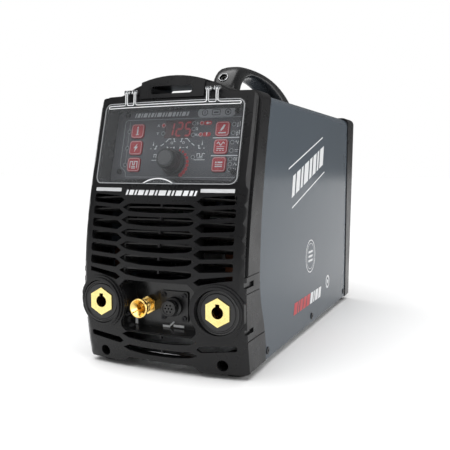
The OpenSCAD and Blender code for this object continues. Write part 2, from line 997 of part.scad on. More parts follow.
// Folded steel tray: floor, two flanges and a front and rear upstand
tray_half = cover_half_w - cover_t - gap;
tray_z = 4.6;
tray_y0 = 66;
tray_y1 = 452;
module base_tray() {
    color(steel_c)
    difference() {
        union() {
            box(-tray_half, tray_half, tray_y0, tray_y1, tray_z, tray_z + 1.5);
            both_sides()
                box(tray_half - 1.5, tray_half, tray_y0, tray_y1, tray_z, 30);
            box(-tray_half, tray_half, tray_y0, tray_y0 + 1.5, tray_z, 20);
            box(-tray_half, tray_half, tray_y1 - 1.5, tray_y1, tray_z, 20);
            // tongue that closes the raised middle of the front moulding
            box(-58, 58, 24, tray_y0 + 1, tray_z + 4, tray_z + 5.5);
        }
        both_sides()
            for (y = cover_screw_y)
                translate([80, y, cover_screw_z])
                    rotate([0, 90, 0])
                        cylinder(r = 2.1, h = 30);
        // air slots under the heat sinks
        for (y = [220:16:380])
            both_sides()
                translate([50, y, 0])
                    linear_extrude(20)
                        rounded_rect(60, 6, 2.9);
    }
}

foot_spots = [[78, 36], [78, 463]];
module foot_hole(p) {
    translate([p[0], p[1], 0])
        cylinder(r = 3.9, h = 3.6);
}

module rubber_feet() {
    color(black_c)
    both_sides()
        for (p = foot_spots)
            translate([p[0], p[1], foot_gap])
                rotate_extrude($fn = 64)
                    polygon([[0, -foot_h + 1.5], [6, -foot_h + 1.5], [8, -foot_h],
                             [foot_r - 2.2, -foot_h], [foot_r - 1.2, -foot_h + 1],
                             [foot_r, -0.02], [3.8, -0.02], [3.8, 2], [0, 2]]);
}

module front_bolts() {
    color(dark_c)
    both_sides()
        difference() {
            union() {
                rod_y(bolt_x, bolt_z, 5.2, 24, 29.9);
                rod_y(bolt_x, bolt_z, 3, 29, 48);
            }
            hex_y(bolt_x, bolt_z, 5, 20, 27.5);
        }
}

// ---------- handle ----------

handle_half = 17.5;
handle_bolt_y = [180, 416];
handle_z = cover_top + 0.1;
outer_front = [[168, handle_z], [161, 323], [175, 353.5], [212, 353.5]];
outer_rear = [[212, 353.5], [330, 359.5], [400, 338], [453, handle_z]];
inner_front = [[192, handle_z], [192, 325], [207, 341.5], [250, 342]];
inner_rear = [[250, 342], [295, 342], [345, 330], [392, handle_z]];
handle_outer = concat(bez_pts(outer_front, 10), [for (k = [1:17]) bez(outer_rear, k / 17)]);
handle_inner = concat(bez_pts(inner_front, 10), [for (k = [1:17]) bez(inner_rear, k / 17)]);
// Screw recess in the nose: its middle, and its tilt from upright
recess_at = bez(outer_front, 0.5);
recess_tilt = 55.7;
module at_handle_screw() {
    translate([0, recess_at[0], recess_at[1]])
        rotate([recess_tilt, 0, 0])
            children();
}

// A bar lofted between its outer and inner curves, with a rounded section
ring_n = 24;
function rounded_unit(c) = sign(c) * pow(abs(c), 2 / 3);
function handle_ring(out, inn) = [for (j = [0:ring_n - 1]) let (
    a = 360 * j / ring_n,
    m = (out + inn) / 2 + (out - inn) / 2 * rounded_unit(sin(a)))
    [handle_half * rounded_unit(cos(a)), m[0], m[1]]];
handle_points = [for (i = [0:len(handle_outer) - 1])
    each handle_ring(handle_outer[i], handle_inner[i])];
handle_sides = [for (i = [0:len(handle_outer) - 2]) for (j = [0:ring_n - 1]) let (
    a = i * ring_n + j,
    b = i * ring_n + (j + 1) % ring_n)
    each [[a, b + ring_n, a + ring_n], [a, b, b + ring_n]]];
handle_end = (len(handle_outer) - 1) * ring_n;
module handle() {
    color(black_c)
    difference() {
        polyhedron(handle_points, concat(
            handle_sides,
            [[for (j = [ring_n - 1:-1:0]) j]],
            [[for (j = [0:ring_n - 1]) handle_end + j]]));
        at_handle_screw()
            translate([0, 0, -5])
                cylinder(r = 6.4, h = 12);
        at_handle_screw()
            translate([0, 0, -16])
                cylinder(r = 2.6, h = 14);
        for (y = handle_bolt_y)
            translate([0, y, handle_z - 1])
                cylinder(r = 3, h = 14);
    }
}

// Collar and screw in the nose, and bolts up through the steel cover
module handle_fasteners() {
    color(steel_c)
    at_handle_screw()
        rotate_extrude()
            polygon([[5.5, -4.9], [6.2, -4.9], [6.2, 0.5], [5.8, 0.8], [5.5, 0.5]]);
    color(steel_c)
    at_handle_screw()
        difference() {
            union() {
                translate([0, 0, -4.9])
                    cylinder(r = 4.6, h = 3.2);
                translate([0, 0, -14])
                    cylinder(r = 2.4, h = 10);
            }
            translate([0, 0, -3.6])
                cylinder(r = 2.4, h = 3, $fn = 6);
        }
    color(steel_c)
    for (y = handle_bolt_y) {
        translate([0, y, cover_top - cover_t - 4.1])
            cylinder(r = 5.2, h = 4);
        translate([0, y, cover_top - cover_t - 1])
            cylinder(r = 2.85, h = 14);
    }
}

// ---------- rear ----------

plate_y = 462;
opening_i = 10;
module rear_mass() {
    intersection() {
        slab(rear_seam, case_back)
            end_outline(0);
        side_slab(-case_w, case_w)
            polygon([[rear_seam - 10, -5], [480, -5], [482, 40], [case_back - 2, 290],
                     [case_back, 300], [case_back, top_z], [rear_seam - 10, top_z]]);
    }
}

module rear_opening(i, low) {
    half = case_w / 2 - i;
    pts = concat(arc([half - 8, low + 8], 8, -90, 0, 5),
                 arc([half - 8, shoulder_z - i - 8], 8, 0, 90, 5));
    polygon(concat(pts, mirrored(pts)));
}

module rear_bezel() {
    color(black_c)
    difference() {
        union() {
            rear_mass();
            // lip under the steel cover
            difference() {
                slab(rear_seam - 8, rear_seam + 1)
                    cover_outline(cover_t + gap, low = 32);
                slab(rear_seam - 12, rear_seam + 2)
                    cover_outline(cover_t + gap + 2, low = 10);
            }
        }
        slab(rear_seam - 12, case_back + 10)
            rear_opening(opening_i, 14);
        slab(rear_seam - 12, plate_y + 1.7)
            rear_opening(opening_i - 6, 8);
        both_sides()
            foot_hole(foot_spots[1]);
    }
}

fan_z = 86;
rear_screw_spots = [[-83, 24], [83, 24], [-83, 150], [83, 150], [-83, 278], [83, 278]];
fan_holes = [[-52.5, -52.5], [52.5, -52.5], [-52.5, 52.5], [52.5, 52.5]];
switch_x = -58;
switch_z = 250;
inlet_x = 20;
gland_x = 60;
gland_z = 252;
inlet_z = 205;
stud_x = -62;
stud_z = 190;
module rear_panel() {
    color(dark_c)
    difference() {
        slab(plate_y, plate_y + 1.5)
            difference() {
                rear_opening(opening_i - 5.6, 8.4);
                translate([0, fan_z])
                    circle(r = fan_r + 2);
                translate([switch_x, switch_z])
                    square([22.4, 30.4], center = true);
                translate([gland_x, gland_z])
                    circle(r = 11);
                translate([inlet_x, inlet_z])
                    circle(r = 7.2);
                translate([stud_x, stud_z])
                    circle(r = 4.2);
                for (p = rear_screw_spots)
                    translate(p)
                        circle(r = 2.1);
                for (p = fan_holes)
                    translate([p[0], fan_z + p[1]])
                        circle(r = 2.3);
                // warm air slots above the fan
                for (x = [-60:12:60])
                    translate([x, 163])
                        rounded_rect(4.4, 16, 2.1);
            }
    }
}

// Pan-head screw pointing into the case, with its head resting at y
module pan_screw(x, z, r, y, shank) {
    translate([x, y, z])
        rotate([-90, 0, 0])
            difference() {
                union() {
                    rotate_extrude()
                        polygon([[0, 0], [r, 0], [r, 0.8], [r - 0.9, 2], [r - 2, 2.5], [0, 2.7]]);
                    translate([0, 0, -shank])
                        cylinder(r = r / 2 - 0.1, h = shank + 0.5);
                }
                translate([0, 0, 1])
                    cylinder(r = r * 0.4, h = 3, $fn = 6);
            }
}

module rear_screws() {
    color(dark_c) {
        for (p = rear_screw_spots)
            pan_screw(p[0], p[1], 4, plate_y + 1.55, 9);
        for (p = fan_holes)
            pan_screw(p[0], fan_z + p[1], 4.2, plate_y + 4.7, 20);
    }
}

// Axial fan in the tail of the case
fan_front = 424;
fan_back = plate_y - 0.2;
module fan_frame() {
    color(black_c)
    difference() {
        union() {
            slab(fan_front, fan_back)
                translate([0, fan_z])
                    difference() {
                        rounded_rect(119, 119, 7);
                        circle(r = fan_r + 2);
                    }
            // stator cup and its spokes
            tube_y(0, fan_z, 17, 4.06, fan_front, fan_front + 3);
            for (a = [45:90:315])
                translate([0, 0, fan_z])
                    rotate([0, a, 0])
                        box(16, fan_r + 3, fan_front, fan_front + 3, -2.5, 2.5);
        }
        rod_y(0, fan_z, 4.06, fan_front - 1, fan_front + 8);
        for (p = fan_holes)
            rod_y(p[0], fan_z + p[1], 2.3, fan_front - 1, fan_back + 1);
    }
}

module fan_rotor() {
    color(dark_c) {
        difference() {
            union() {
                rod_y(0, fan_z, 20, fan_front + 4, fan_back - 3);
                rod_y(0, fan_z, 4, fan_front + 0.4, fan_front + 6);
            }
            tube_y(0, fan_z, 18, 4.5, fan_front + 3, fan_front + 20);
        }
        translate([0, 0, fan_z])
            for (k = [0:fan_blades - 1])
                rotate([0, k * 360 / fan_blades, 0])
                    intersection() {
                        translate([19, (fan_front + fan_back) / 2, 0])
                            rotate([36, 0, 0])
                                box(0, 40, -22, 22, -1, 1);
                        translate([0, fan_back - 4, 0])
                            rotate([90, 0, 0])
                                cylinder(r = fan_r, h = fan_back - fan_front - 10);
                    }
    }
}

module ring_y(r, wire, y, z) {
    translate([0, y, z])
        rotate([90, 0, 0])
            rotate_extrude($fn = 96)
                translate([r, 0])
                    circle(r = wire, $fn = 20);
}

module fan_guard() {
    color(steel_c) {
        for (r = [14:8.4:60])
            ring_y(r, 1, plate_y + 5, fan_z);
        translate([0, 0, fan_z])
            for (a = [45:90:315])
                rotate([0, a, 0])
                    translate([8, plate_y + 3.4, 0])
                        rotate([0, 90, 0])
                            cylinder(r = 1.2, h = 62.5);
        for (p = fan_holes)
            tube_y(p[0], fan_z + p[1], 5.2, 2.3, plate_y + 1.55, plate_y + 4.4);
    }
}

// Mains switch with a rocker
module switch_body() {
    color(black_c)
    difference() {
        union() {
            slab(plate_y + 1.6, plate_y + 4.4)
                translate([switch_x, switch_z])
                    rounded_rect(27, 35, 2);
            slab(plate_y - 20, plate_y + 2)
                translate([switch_x, switch_z])
                    square([21.8, 29.8], center = true);
        }
        slab(plate_y - 6, plate_y + 6)
            translate([switch_x, switch_z])
                square([19, 27], center = true);
    }
}

rocker_y = plate_y + 0.4;
module switch_rocker() {
    color(black_c) {
        translate([switch_x - 9.1, rocker_y, switch_z])
            rotate([0, 90, 0])
                cylinder(r = 3, h = 18.2);
        side_slab(switch_x - 9.1, switch_x + 9.1)
            polygon([[rocker_y - 2, switch_z - 9], [rocker_y + 4.6, switch_z - 12.2],
                     [rocker_y + 6.6, switch_z - 11.8], [rocker_y + 4, switch_z],
                     [rocker_y + 3.2, switch_z + 12.4], [rocker_y + 1.4, switch_z + 12.6],
                     [rocker_y - 3, switch_z + 8]]);
    }
}

// Gas inlet through the rear plate, with the solenoid valve behind it
valve_y = 418;
module gas_valve() {
    color(brass_c)
    difference() {
        union() {
            rod_y(inlet_x, inlet_z, 7, valve_y + 14, plate_y + 1);
            hex_y(inlet_x, inlet_z, 19, plate_y + 1.6, plate_y + 8);
            translate([inlet_x, plate_y + 8, inlet_z])
                rotate([-90, 0, 0])
                    rotate_extrude()
                        polygon([[0, -8], [5.2, -8], [5.2, 6], [3.6, 8], [4.6, 8.6], [3.6, 13],
                                 [4.6, 13.6], [3.6, 18], [4.6, 18.6], [3.4, 24], [0, 24]]);
            box(inlet_x - 13, inlet_x + 13, valve_y - 12, valve_y + 16, inlet_z - 13, inlet_z + 13);
            rod_y(inlet_x, inlet_z, 3.6, valve_y - 24, valve_y - 10);
        }
        rod_y(inlet_x, inlet_z, 2, valve_y - 30, plate_y + 40);
    }
    color(black_c)
    difference() {
        translate([inlet_x, valve_y + 2, inlet_z + 13])
            cylinder(r = 14, h = 32);
        translate([inlet_x, valve_y + 2, inlet_z + 40])
            cylinder(r = 5, h = 8);
    }
}

// Soft hose from the valve to the torch fitting, swept along its route
hose_r = 4.6;
hose_route = [[gas_x, 48.1, gas_z], [gas_x, 56, gas_z], [gas_x + 2, 64, gas_z + 10], [2, 76, 96],
              [2, 86, 122], [6, 100, 152], [9, 120, 178], [12, 150, 196], [16, 190, 203],
              [20, 240, inlet_z], [20, 300, inlet_z], [20, 360, inlet_z],
              [inlet_x, 380, inlet_z], [inlet_x, valve_y - 24.1, inlet_z]];

function unit(v) = v / norm(v);
function route_dir(p, k) = unit(p[min(k + 1, len(p) - 1)] - p[max(k - 1, 0)]);
function smooth(p) = concat([p[0]],
    [for (k = [0:len(p) - 2]) for (t = [0.25, 0.75]) p[k] * (1 - t) + p[k + 1] * t],
    [p[len(p) - 1]]);
module hose(route, r_out, sides) {
    n = len(route);
    rings = [for (k = [0:n - 1])
        let (d = route_dir(route, k), u = unit(cross(d, [1, 0, 0.01])), v = cross(d, u))
        for (j = [0:sides - 1]) route[k] + r_out * (cos(j * 360 / sides) * u + sin(j * 360 / sides) * v)];
    walls = [for (k = [0:n - 2]) for (j = [0:sides - 1])
        [k * sides + j, k * sides + (j + 1) % sides, (k + 1) * sides + (j + 1) % sides,
         (k + 1) * sides + j]];
    polyhedron(points = rings,
               faces = concat([[for (j = [sides - 1:-1:0]) j]], walls,
                              [[for (j = [0:sides - 1]) (n - 1) * sides + j]]));
}

module gas_hose() {
    color([0.15, 0.15, 0.16])
        hose(smooth(smooth(hose_route)), hose_r, 10);
}

// Gland for the mains cable, with its clamping nut
module cable_gland() {
    color(black_c)
    difference() {
        union() {
            hex_y(gland_x, gland_z, 27, plate_y + 1.6, plate_y + 7);
            rod_y(gland_x, gland_z, 10.8, plate_y - 12, plate_y + 14);
        }
        rod_y(gland_x, gland_z, 6, plate_y - 20, plate_y + 20);
    }
    color(black_c)
    difference() {
        hex_y(gland_x, gland_z, 27, plate_y - 6, plate_y - 0.2);
        rod_y(gland_x, gland_z, 10.9, plate_y - 10, plate_y + 2);
    }
}

module gland_nut() {
    color(dark_c)
    translate([gland_x, plate_y + 7.3, gland_z])
        rotate([-90, 0, 0])
            difference() {
                rotate_extrude($fn = 64)
                    polygon([[0, 0], [13.4, 0], [13.4, 9], [11.6, 13], [8, 15.5], [0, 15.5]]);
                translate([0, 0, -1])
                    cylinder(r = 11, h = 9);
                translate([0, 0, -1])
                    cylinder(r = 6, h = 20);
                for (a = [0:20:340])
                    rotate([0, 0, a])
                        translate([14, 0, -1])
                            cylinder(r = 1.4, h = 11, $fn = 16);
            }
}

module earth_stud() {
    color(brass_c) {
        difference() {
            union() {
                rod_y(stud_x, stud_z, 4, plate_y - 14, plate_y + 17);
                hex_y(stud_x, stud_z, 13, plate_y + 1.6, plate_y + 7);
                rod_y(stud_x, stud_z, 8, plate_y - 1.7, plate_y - 0.1);
            }
        }
        difference() {
            hex_y(stud_x, stud_z, 13, plate_y - 8, plate_y - 1.8);
            rod_y(stud_x, stud_z, 4.05, plate_y - 10, plate_y);
        }
    }
}

// ---------- inside ----------

tray_top = tray_z + 1.55;
shelf_z = 150;
shelf_top = shelf_z + 1.55;
module shelf_plate() {
    color(steel_c)
    difference() {
        union() {
            box(-tray_half + 0.5, tray_half - 0.5, 104, 416, shelf_z, shelf_z + 1.5);
            both_sides()
                box(tray_half - 2, tray_half - 0.5, 104, 416, shelf_z, shelf_z + 16);
        }
        box(-30, 30, 90, 190, shelf_z - 5, shelf_z + 30);
    }
}

board_z = shelf_z + 12;
module power_board() {
    color(board_c)
    difference() {
        box(-88, 2, 200, 404, board_z, board_z + 2);
        for (y = [208, 396])
            for (x = [-82, -4])
                translate([x, y, board_z - 2])
                    cylinder(r = 2, h = 8);
    }
    color(steel_c)
    for (y = [208, 396])
        for (x = [-82, -4])
            translate([x, y, shelf_z + 1.55])
                difference() {
                    cylinder(r = 3.5, h = board_z - shelf_z - 1.5);
                    translate([0, 0, 2])
                        cylinder(r = 1.5, h = 20);
                }
}

module capacitors() {
    color([0.12, 0.14, 0.2])
    for (y = [232, 272, 312, 352])
        for (x = [-66, -26])
            translate([x, y, board_z + 2.05])
                rotate_extrude($fn = 64)
                    polygon([[0, 0], [16.5, 0], [17.5, 1], [17.5, 44], [17, 45], [17.5, 46],
                             [17.5, 49], [16.5, 50], [14.5, 50], [14.5, 49.4], [0, 49.4]]);
}

// Two finned heat sinks in the air stream
sink_y0 = 196;
sink_y1 = 408;
module heatsinks() {
    color(alu_c)
    both_sides() {
        box(12, 92, sink_y0, sink_y1, 92, 100);
        for (x = [12:6.5:90])
            box(x, x + 2, sink_y0, sink_y1, tray_top, 93);
    }
}

module power_modules() {
    color([0.1, 0.1, 0.11])
    both_sides()
        for (y = [216, 262, 308, 354]) {
            box(24, 80, y, y + 32, 100.05, 112);
            for (x = [34, 52, 70])
                translate([x, y + 16, 111])
                    cylinder(r = 3.2, h = 5);
        }
}

// Main transformer: ferrite frame with a wound limb
core_y = 104;
module transformer_core() {
    color([0.24, 0.24, 0.25])
    difference() {
        box(-44, 44, core_y, core_y + 56, tray_top, 94);
        box(-30, -11, core_y - 1, core_y + 60, 24, 80);
        box(11, 30, core_y - 1, core_y + 60, 24, 80);
    }
}

module transformer_coils() {
    color(copper_c)
    difference() {
        translate([0, core_y + 28, 25])
            linear_extrude(54)
                rounded_rect(58, 92, 12);
        translate([0, core_y + 28, 20])
            linear_extrude(70)
                rounded_rect(23, 57, 1);
    }
}

module toroid(x, y, z, r, t, h) {
    translate([x, y, z])
        rotate_extrude($fn = 72)
            translate([r, 0])
                polygon([[-t, -h + 3], [-t + 3, -h], [t - 3, -h], [t, -h + 3], [t, h - 3], [t - 3, h],
                         [-t + 3, h], [-t, h - 3]]);
}

module output_choke() {
    color(copper_c)
        toroid(58, 236, shelf_top + 21, 24, 10, 21);
}

module start_coil() {
    color([0.72, 0.55, 0.16])
        toroid(58, 150, shelf_top + 14, 18, 7, 14);
}

// Copper bars from the socket studs back to the output stage
module busbars() {
    color(copper_c)
    both_sides()
        difference() {
            union() {
                box(socket_x - 10, socket_x + 10, 40, 43, socket_z - 12, socket_z + 62);
                box(socket_x - 10, socket_x + 10, 40, 228, socket_z + 59, socket_z + 62);
                box(socket_x - 10, socket_x + 10, 225, 228, 116.1, socket_z + 62);
                box(socket_x - 10, socket_x + 10, 225, 240, 116.1, 118.6);
            }
            rod_y(socket_x, socket_z, 6.1, 30, 60);
        }
}

// ---------- the whole ----------

module stand() {
    translate([0, stand_y, foot_h - foot_gap])
        children();
}

stand() front_bezel();
stand() grille_louvres();
stand() trim_bars();
stand() connector_panel();
stand() control_panel();
stand() display_module();
stand() display_window();
stand() indicator_leds();
stand() control_board();
stand() panel_screws();
stand() encoder_body();
stand() encoder_shaft();
stand() knob();
stand() key_info();
stand() key_strike();
stand() key_pulse();
stand() key_torch();
stand() key_current();
stand() key_trigger();
stand() clear_cover();
stand() hinge_wires();
stand() socket_left();
stand() socket_right();
stand() insert_left();
stand() insert_right();
stand() socket_nuts();
stand() gas_outlet();
stand() control_socket();
stand() control_insert();
stand() connector_screws();
stand() wrap_cover();
stand() base_tray();
stand() rubber_feet();
stand() front_bolts();
stand() cover_screws();
stand() handle();
stand() handle_fasteners();
stand() rear_bezel();
stand() rear_panel();
stand() rear_screws();
stand() fan_frame();
stand() fan_rotor();
stand() fan_guard();
stand() switch_body();
stand() switch_rocker();
stand() gas_valve();
stand() gas_hose();
stand() cable_gland();
stand() gland_nut();
stand() earth_stud();
stand() shelf_plate();
stand() power_board();
stand() capacitors();
stand() heatsinks();
stand() power_modules();
stand() transformer_core();
stand() transformer_coils();
stand() output_choke();
stand() start_coil();
stand() busbars();
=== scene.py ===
"""Looks of a portable TIG welding machine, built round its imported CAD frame.

Lengths given in millimetres are multiplied by MM where they meet Blender, which works in metres.
"""
import json
from math import cos, hypot, radians, sin, tau

import bmesh
import bpy
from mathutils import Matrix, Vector
from mathutils.bvhtree import BVHTree


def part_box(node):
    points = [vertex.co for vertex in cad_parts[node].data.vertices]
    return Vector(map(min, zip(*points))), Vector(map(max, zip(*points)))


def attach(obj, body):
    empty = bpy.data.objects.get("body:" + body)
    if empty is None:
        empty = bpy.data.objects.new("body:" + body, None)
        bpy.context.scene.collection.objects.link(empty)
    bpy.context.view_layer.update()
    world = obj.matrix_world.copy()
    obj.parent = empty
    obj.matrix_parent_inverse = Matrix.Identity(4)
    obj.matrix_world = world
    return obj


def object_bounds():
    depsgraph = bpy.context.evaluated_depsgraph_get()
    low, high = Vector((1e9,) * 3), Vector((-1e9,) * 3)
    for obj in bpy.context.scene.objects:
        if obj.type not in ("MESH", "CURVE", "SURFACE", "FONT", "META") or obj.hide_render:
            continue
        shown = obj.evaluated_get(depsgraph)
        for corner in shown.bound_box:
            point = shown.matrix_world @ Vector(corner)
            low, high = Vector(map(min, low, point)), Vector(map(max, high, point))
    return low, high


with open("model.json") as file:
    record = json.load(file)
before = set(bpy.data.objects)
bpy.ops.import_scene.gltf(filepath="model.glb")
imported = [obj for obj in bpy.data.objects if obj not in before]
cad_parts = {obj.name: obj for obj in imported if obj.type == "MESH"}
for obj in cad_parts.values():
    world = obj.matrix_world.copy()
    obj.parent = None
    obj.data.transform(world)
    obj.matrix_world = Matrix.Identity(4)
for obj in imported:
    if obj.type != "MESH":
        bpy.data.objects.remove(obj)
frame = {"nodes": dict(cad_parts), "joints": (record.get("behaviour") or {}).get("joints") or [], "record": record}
cad_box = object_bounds()
scene = bpy.context.scene
MM = 0.001
# heights on the case count from this far under its mouldings, which stand on rubber feet
CASE_ZERO = 1.5
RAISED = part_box("front_bezel")[0].z / MM - CASE_ZERO


# ---------------------------------------------------------------- camera

def make_camera():
    """A standing product view from the right of the controls, level with the top of the panel."""
    lens = bpy.data.cameras.new("camera")
    lens.lens = 49.66
    lens.sensor_width = 36
    camera = bpy.data.objects.new("camera", lens)
    camera.location = (0.3316, -0.82095, 0.2172 + RAISED * MM)
    camera.rotation_euler = (radians(90 - 5.17), 0, radians(23.76))
    scene.collection.objects.link(camera)
    scene.camera = camera


# ---------------------------------------------------------------- materials

class Nodes:
    """A material's node tree with short calls for the few kinds of node used here."""

    def __init__(self, name):
        self.material = bpy.data.materials.new(name)
        self.material.use_nodes = True
        self.tree = self.material.node_tree
        self.tree.nodes.clear()
        self.shader = self.add("ShaderNodeBsdfPrincipled")
        self.output = self.add("ShaderNodeOutputMaterial")
        self.link(self.shader.outputs[0], self.output.inputs[0])
        self.place = self.add("ShaderNodeTexCoord").outputs["Object"]

    def add(self, kind, **settings):
        node = self.tree.nodes.new(kind)
        for key, value in settings.items():
            setattr(node, key, value)
        return node

    def link(self, a, b):
        self.tree.links.new(a, b)

    def put(self, value, socket):
        """Links an output to a socket, or sets a plain value."""
        if isinstance(value, bpy.types.NodeSocket):
            self.link(value, socket)
        else:
            socket.default_value = value

    def stretched(self, scale):
        node = self.add("ShaderNodeMapping")
        self.link(self.place, node.inputs["Vector"])
        node.inputs["Scale"].default_value = scale
        return node.outputs[0]

    def noise(self, scale, detail=3, rough=0.5, vector=None):
        node = self.add("ShaderNodeTexNoise")
        self.link(vector or self.place, node.inputs["Vector"])
        node.inputs["Scale"].default_value = scale
        node.inputs["Detail"].default_value = detail
        node.inputs["Roughness"].default_value = rough
        return node.outputs["Fac"]

    def cells(self, scale):
        node = self.add("ShaderNodeTexVoronoi")
        self.link(self.place, node.inputs["Vector"])
        node.inputs["Scale"].default_value = scale
        return node.outputs["Distance"]

    def spread(self, value, low, high, out_low, out_high):
        node = self.add("ShaderNodeMapRange", clamp=True)
        self.put(value, node.inputs[0])
        for socket, number in zip(node.inputs[1:5], (low, high, out_low, out_high)):
            socket.default_value = number
        return node.outputs[0]

    def colours(self, factor, first, second):
        node = self.add("ShaderNodeMix", data_type="RGBA")
        self.put(factor, node.inputs["Factor"])
        self.put(rgba(first), node.inputs["A"])
        self.put(rgba(second), node.inputs["B"])
        return node.outputs["Result"]

    def bump(self, height, depth, after=None):
        """Bump of a height from 0 to 1 that stands for depth metres."""
        node = self.add("ShaderNodeBump")
        node.inputs["Strength"].default_value = 1
        node.inputs["Distance"].default_value = depth
        self.link(height, node.inputs["Height"])
        if after:
            self.link(after, node.inputs["Normal"])
        self.link(node.outputs[0], self.shader.inputs["Normal"])
        return node.outputs[0]

    def set(self, **inputs):
        for key, value in inputs.items():
            self.put(value, self.shader.inputs[key.replace("_", " ")])
        return self


def rgba(colour):
    if isinstance(colour, bpy.types.NodeSocket):
        return colour
    return (*colour, 1.0)


def shade(colour, factor):
    return tuple(min(1.0, c * factor) for c in colour)


def moulded(name, colour, rough=0.42, grain=0.35, depth=0.006, gloss=0.5):
    """Moulded plastic with a spark-eroded grain, in millimetres, and faint flow marks."""
    m = Nodes(name)
    flow = m.noise(9, detail=4, rough=0.6)
    speck = m.noise(1600, detail=1)
    tone = m.colours(m.spread(flow, 0.3, 0.7, 0, 1), shade(colour, 0.86), shade(colour, 1.16))
    lift = m.colours(m.spread(speck, 0.35, 0.75, 0, 0.35), tone, shade(colour, 1.5))
    smear = m.noise(38, detail=5, rough=0.65)
    m.set(Base_Color=lift, Specular_IOR_Level=gloss)
    m.set(Roughness=m.spread(smear, 0.3, 0.75, rough - 0.06, rough + 0.09))
    m.bump(m.noise(1 / (grain * MM), detail=2, rough=0.6), depth * MM)
    return m.material


def painted(name, colour, rough=0.24, peel=1.7, depth=0.002, coat=0.3, gloss=0.5):
    """Powder coat: a soft orange peel under a clear top."""
    m = Nodes(name)
    cloud = m.noise(5, detail=3)
    fleck = m.noise(2200, detail=1)
    tone = m.colours(m.spread(cloud, 0.3, 0.7, 0, 1), shade(colour, 0.97), shade(colour, 1.03))
    fine = m.colours(m.spread(fleck, 0.55, 0.8, 0, 0.1), tone, shade(colour, 1.3))
    m.set(Base_Color=fine, Coat_Weight=coat, Coat_Roughness=0.12, Specular_IOR_Level=gloss)
    m.set(Roughness=m.spread(m.noise(60, detail=4), 0.3, 0.7, rough - 0.04, rough + 0.06))
    m.bump(m.noise(1 / (peel * MM), detail=1.5), depth * MM)
    return m.material


def metal(name, colour, rough=0.25, grain=(900, 900, 60), depth=0.004, tarnish=None,
          metallic=1.0, along=None, dark=(0.02, 0.02, 0.02)):
    """Machined or brushed metal with its lines along the least stretched axis. It can take
    painted shade, turning dark along a way, given as (direction, start, end) in metres."""
    m = Nodes(name)
    lines = m.noise(1, detail=4, rough=0.6, vector=m.stretched(grain))
    cloud = m.noise(55, detail=4, rough=0.6)
    tone = m.colours(m.spread(lines, 0.3, 0.7, 0, 1), shade(colour, 0.88), shade(colour, 1.06))
    tarnish_and_shade = m.colours(m.spread(cloud, 0.5, 0.78, 0, 0.6), tone, tarnish or shade(colour, 0.7))
    # painted shade: the colour turns dark towards the end of the way, deep inside a hollow
    if along:
        direction, start, end = along
        reach = m.add("ShaderNodeVectorMath", operation="DOT_PRODUCT")
        m.link(m.place, reach.inputs[0])
        reach.inputs[1].default_value = direction
        tarnish_and_shade = m.colours(m.spread(reach.outputs["Value"], start, end, 0, 1), tarnish_and_shade, dark)
    m.set(Base_Color=tarnish_and_shade, Metallic=metallic)
    m.set(Roughness=m.spread(cloud, 0.3, 0.8, rough - 0.05, rough + 0.14))
    m.bump(lines, depth * MM)
    return m.material


def rubber(name, colour):
    m = Nodes(name)
    dust = m.noise(45, detail=5, rough=0.7)
    tone = m.colours(m.spread(dust, 0.45, 0.8, 0, 0.5), colour, shade(colour, 2.2))
    m.set(Base_Color=tone, Specular_IOR_Level=0.3)
    m.set(Roughness=m.spread(dust, 0.2, 0.8, 0.62, 0.86))
    m.bump(m.cells(1400), 0.015 * MM)
    return m.material


def film(name, colour):
    """Printed polyester film with a fine matt emboss."""
    m = Nodes(name)
    cloud = m.noise(14, detail=2)
    tone = m.colours(m.spread(cloud, 0.3, 0.7, 0, 1), shade(colour, 0.93), shade(colour, 1.07))
    m.set(Base_Color=tone, Roughness=m.spread(m.noise(90), 0.3, 0.7, 0.36, 0.46))
    m.bump(m.cells(2600), 0.006 * MM)
    return m.material


def ink(name, colour, glow=0.0, rough=0.4):
    """Screen-printed ink, a little uneven, or a glowing segment. The same material also paints highlight lines on
    the clear cover and glow round the lit lamps.
    """
    m = Nodes(name)
    patch = m.noise(900, detail=2)
    tone = m.colours(m.spread(patch, 0.3, 0.8, 0, 1), colour, shade(colour, 0.86))
    m.set(Base_Color=tone, Roughness=m.spread(patch, 0.2, 0.8, rough, rough + 0.1))
    if glow:
        m.set(Emission_Color=tone, Emission_Strength=glow)
    m.bump(m.noise(3000, detail=1), 0.004 * MM)
    return m.material


def window_red(name):
    """Dark red display filter."""
    m = Nodes(name)
    cloud = m.noise(120, detail=2)
    tone = m.colours(cloud, (0.060, 0.034, 0.037), (0.082, 0.050, 0.053))
    m.set(Base_Color=tone, Roughness=m.spread(cloud, 0.3, 0.7, 0.12, 0.2), Coat_Weight=0.6)
    m.bump(m.noise(1500, detail=1), 0.002 * MM)
    return m.material


def lens_clear(name):
    """Small frosted lamp lens."""
    m = Nodes(name)
    grain = m.noise(2200, detail=2)
    tone = m.colours(grain, (0.07, 0.072, 0.078), (0.12, 0.123, 0.13))
    m.set(Base_Color=tone, Roughness=m.spread(grain, 0.3, 0.7, 0.15, 0.3), Coat_Weight=0.5)
    m.bump(grain, 0.003 * MM)
    return m.material


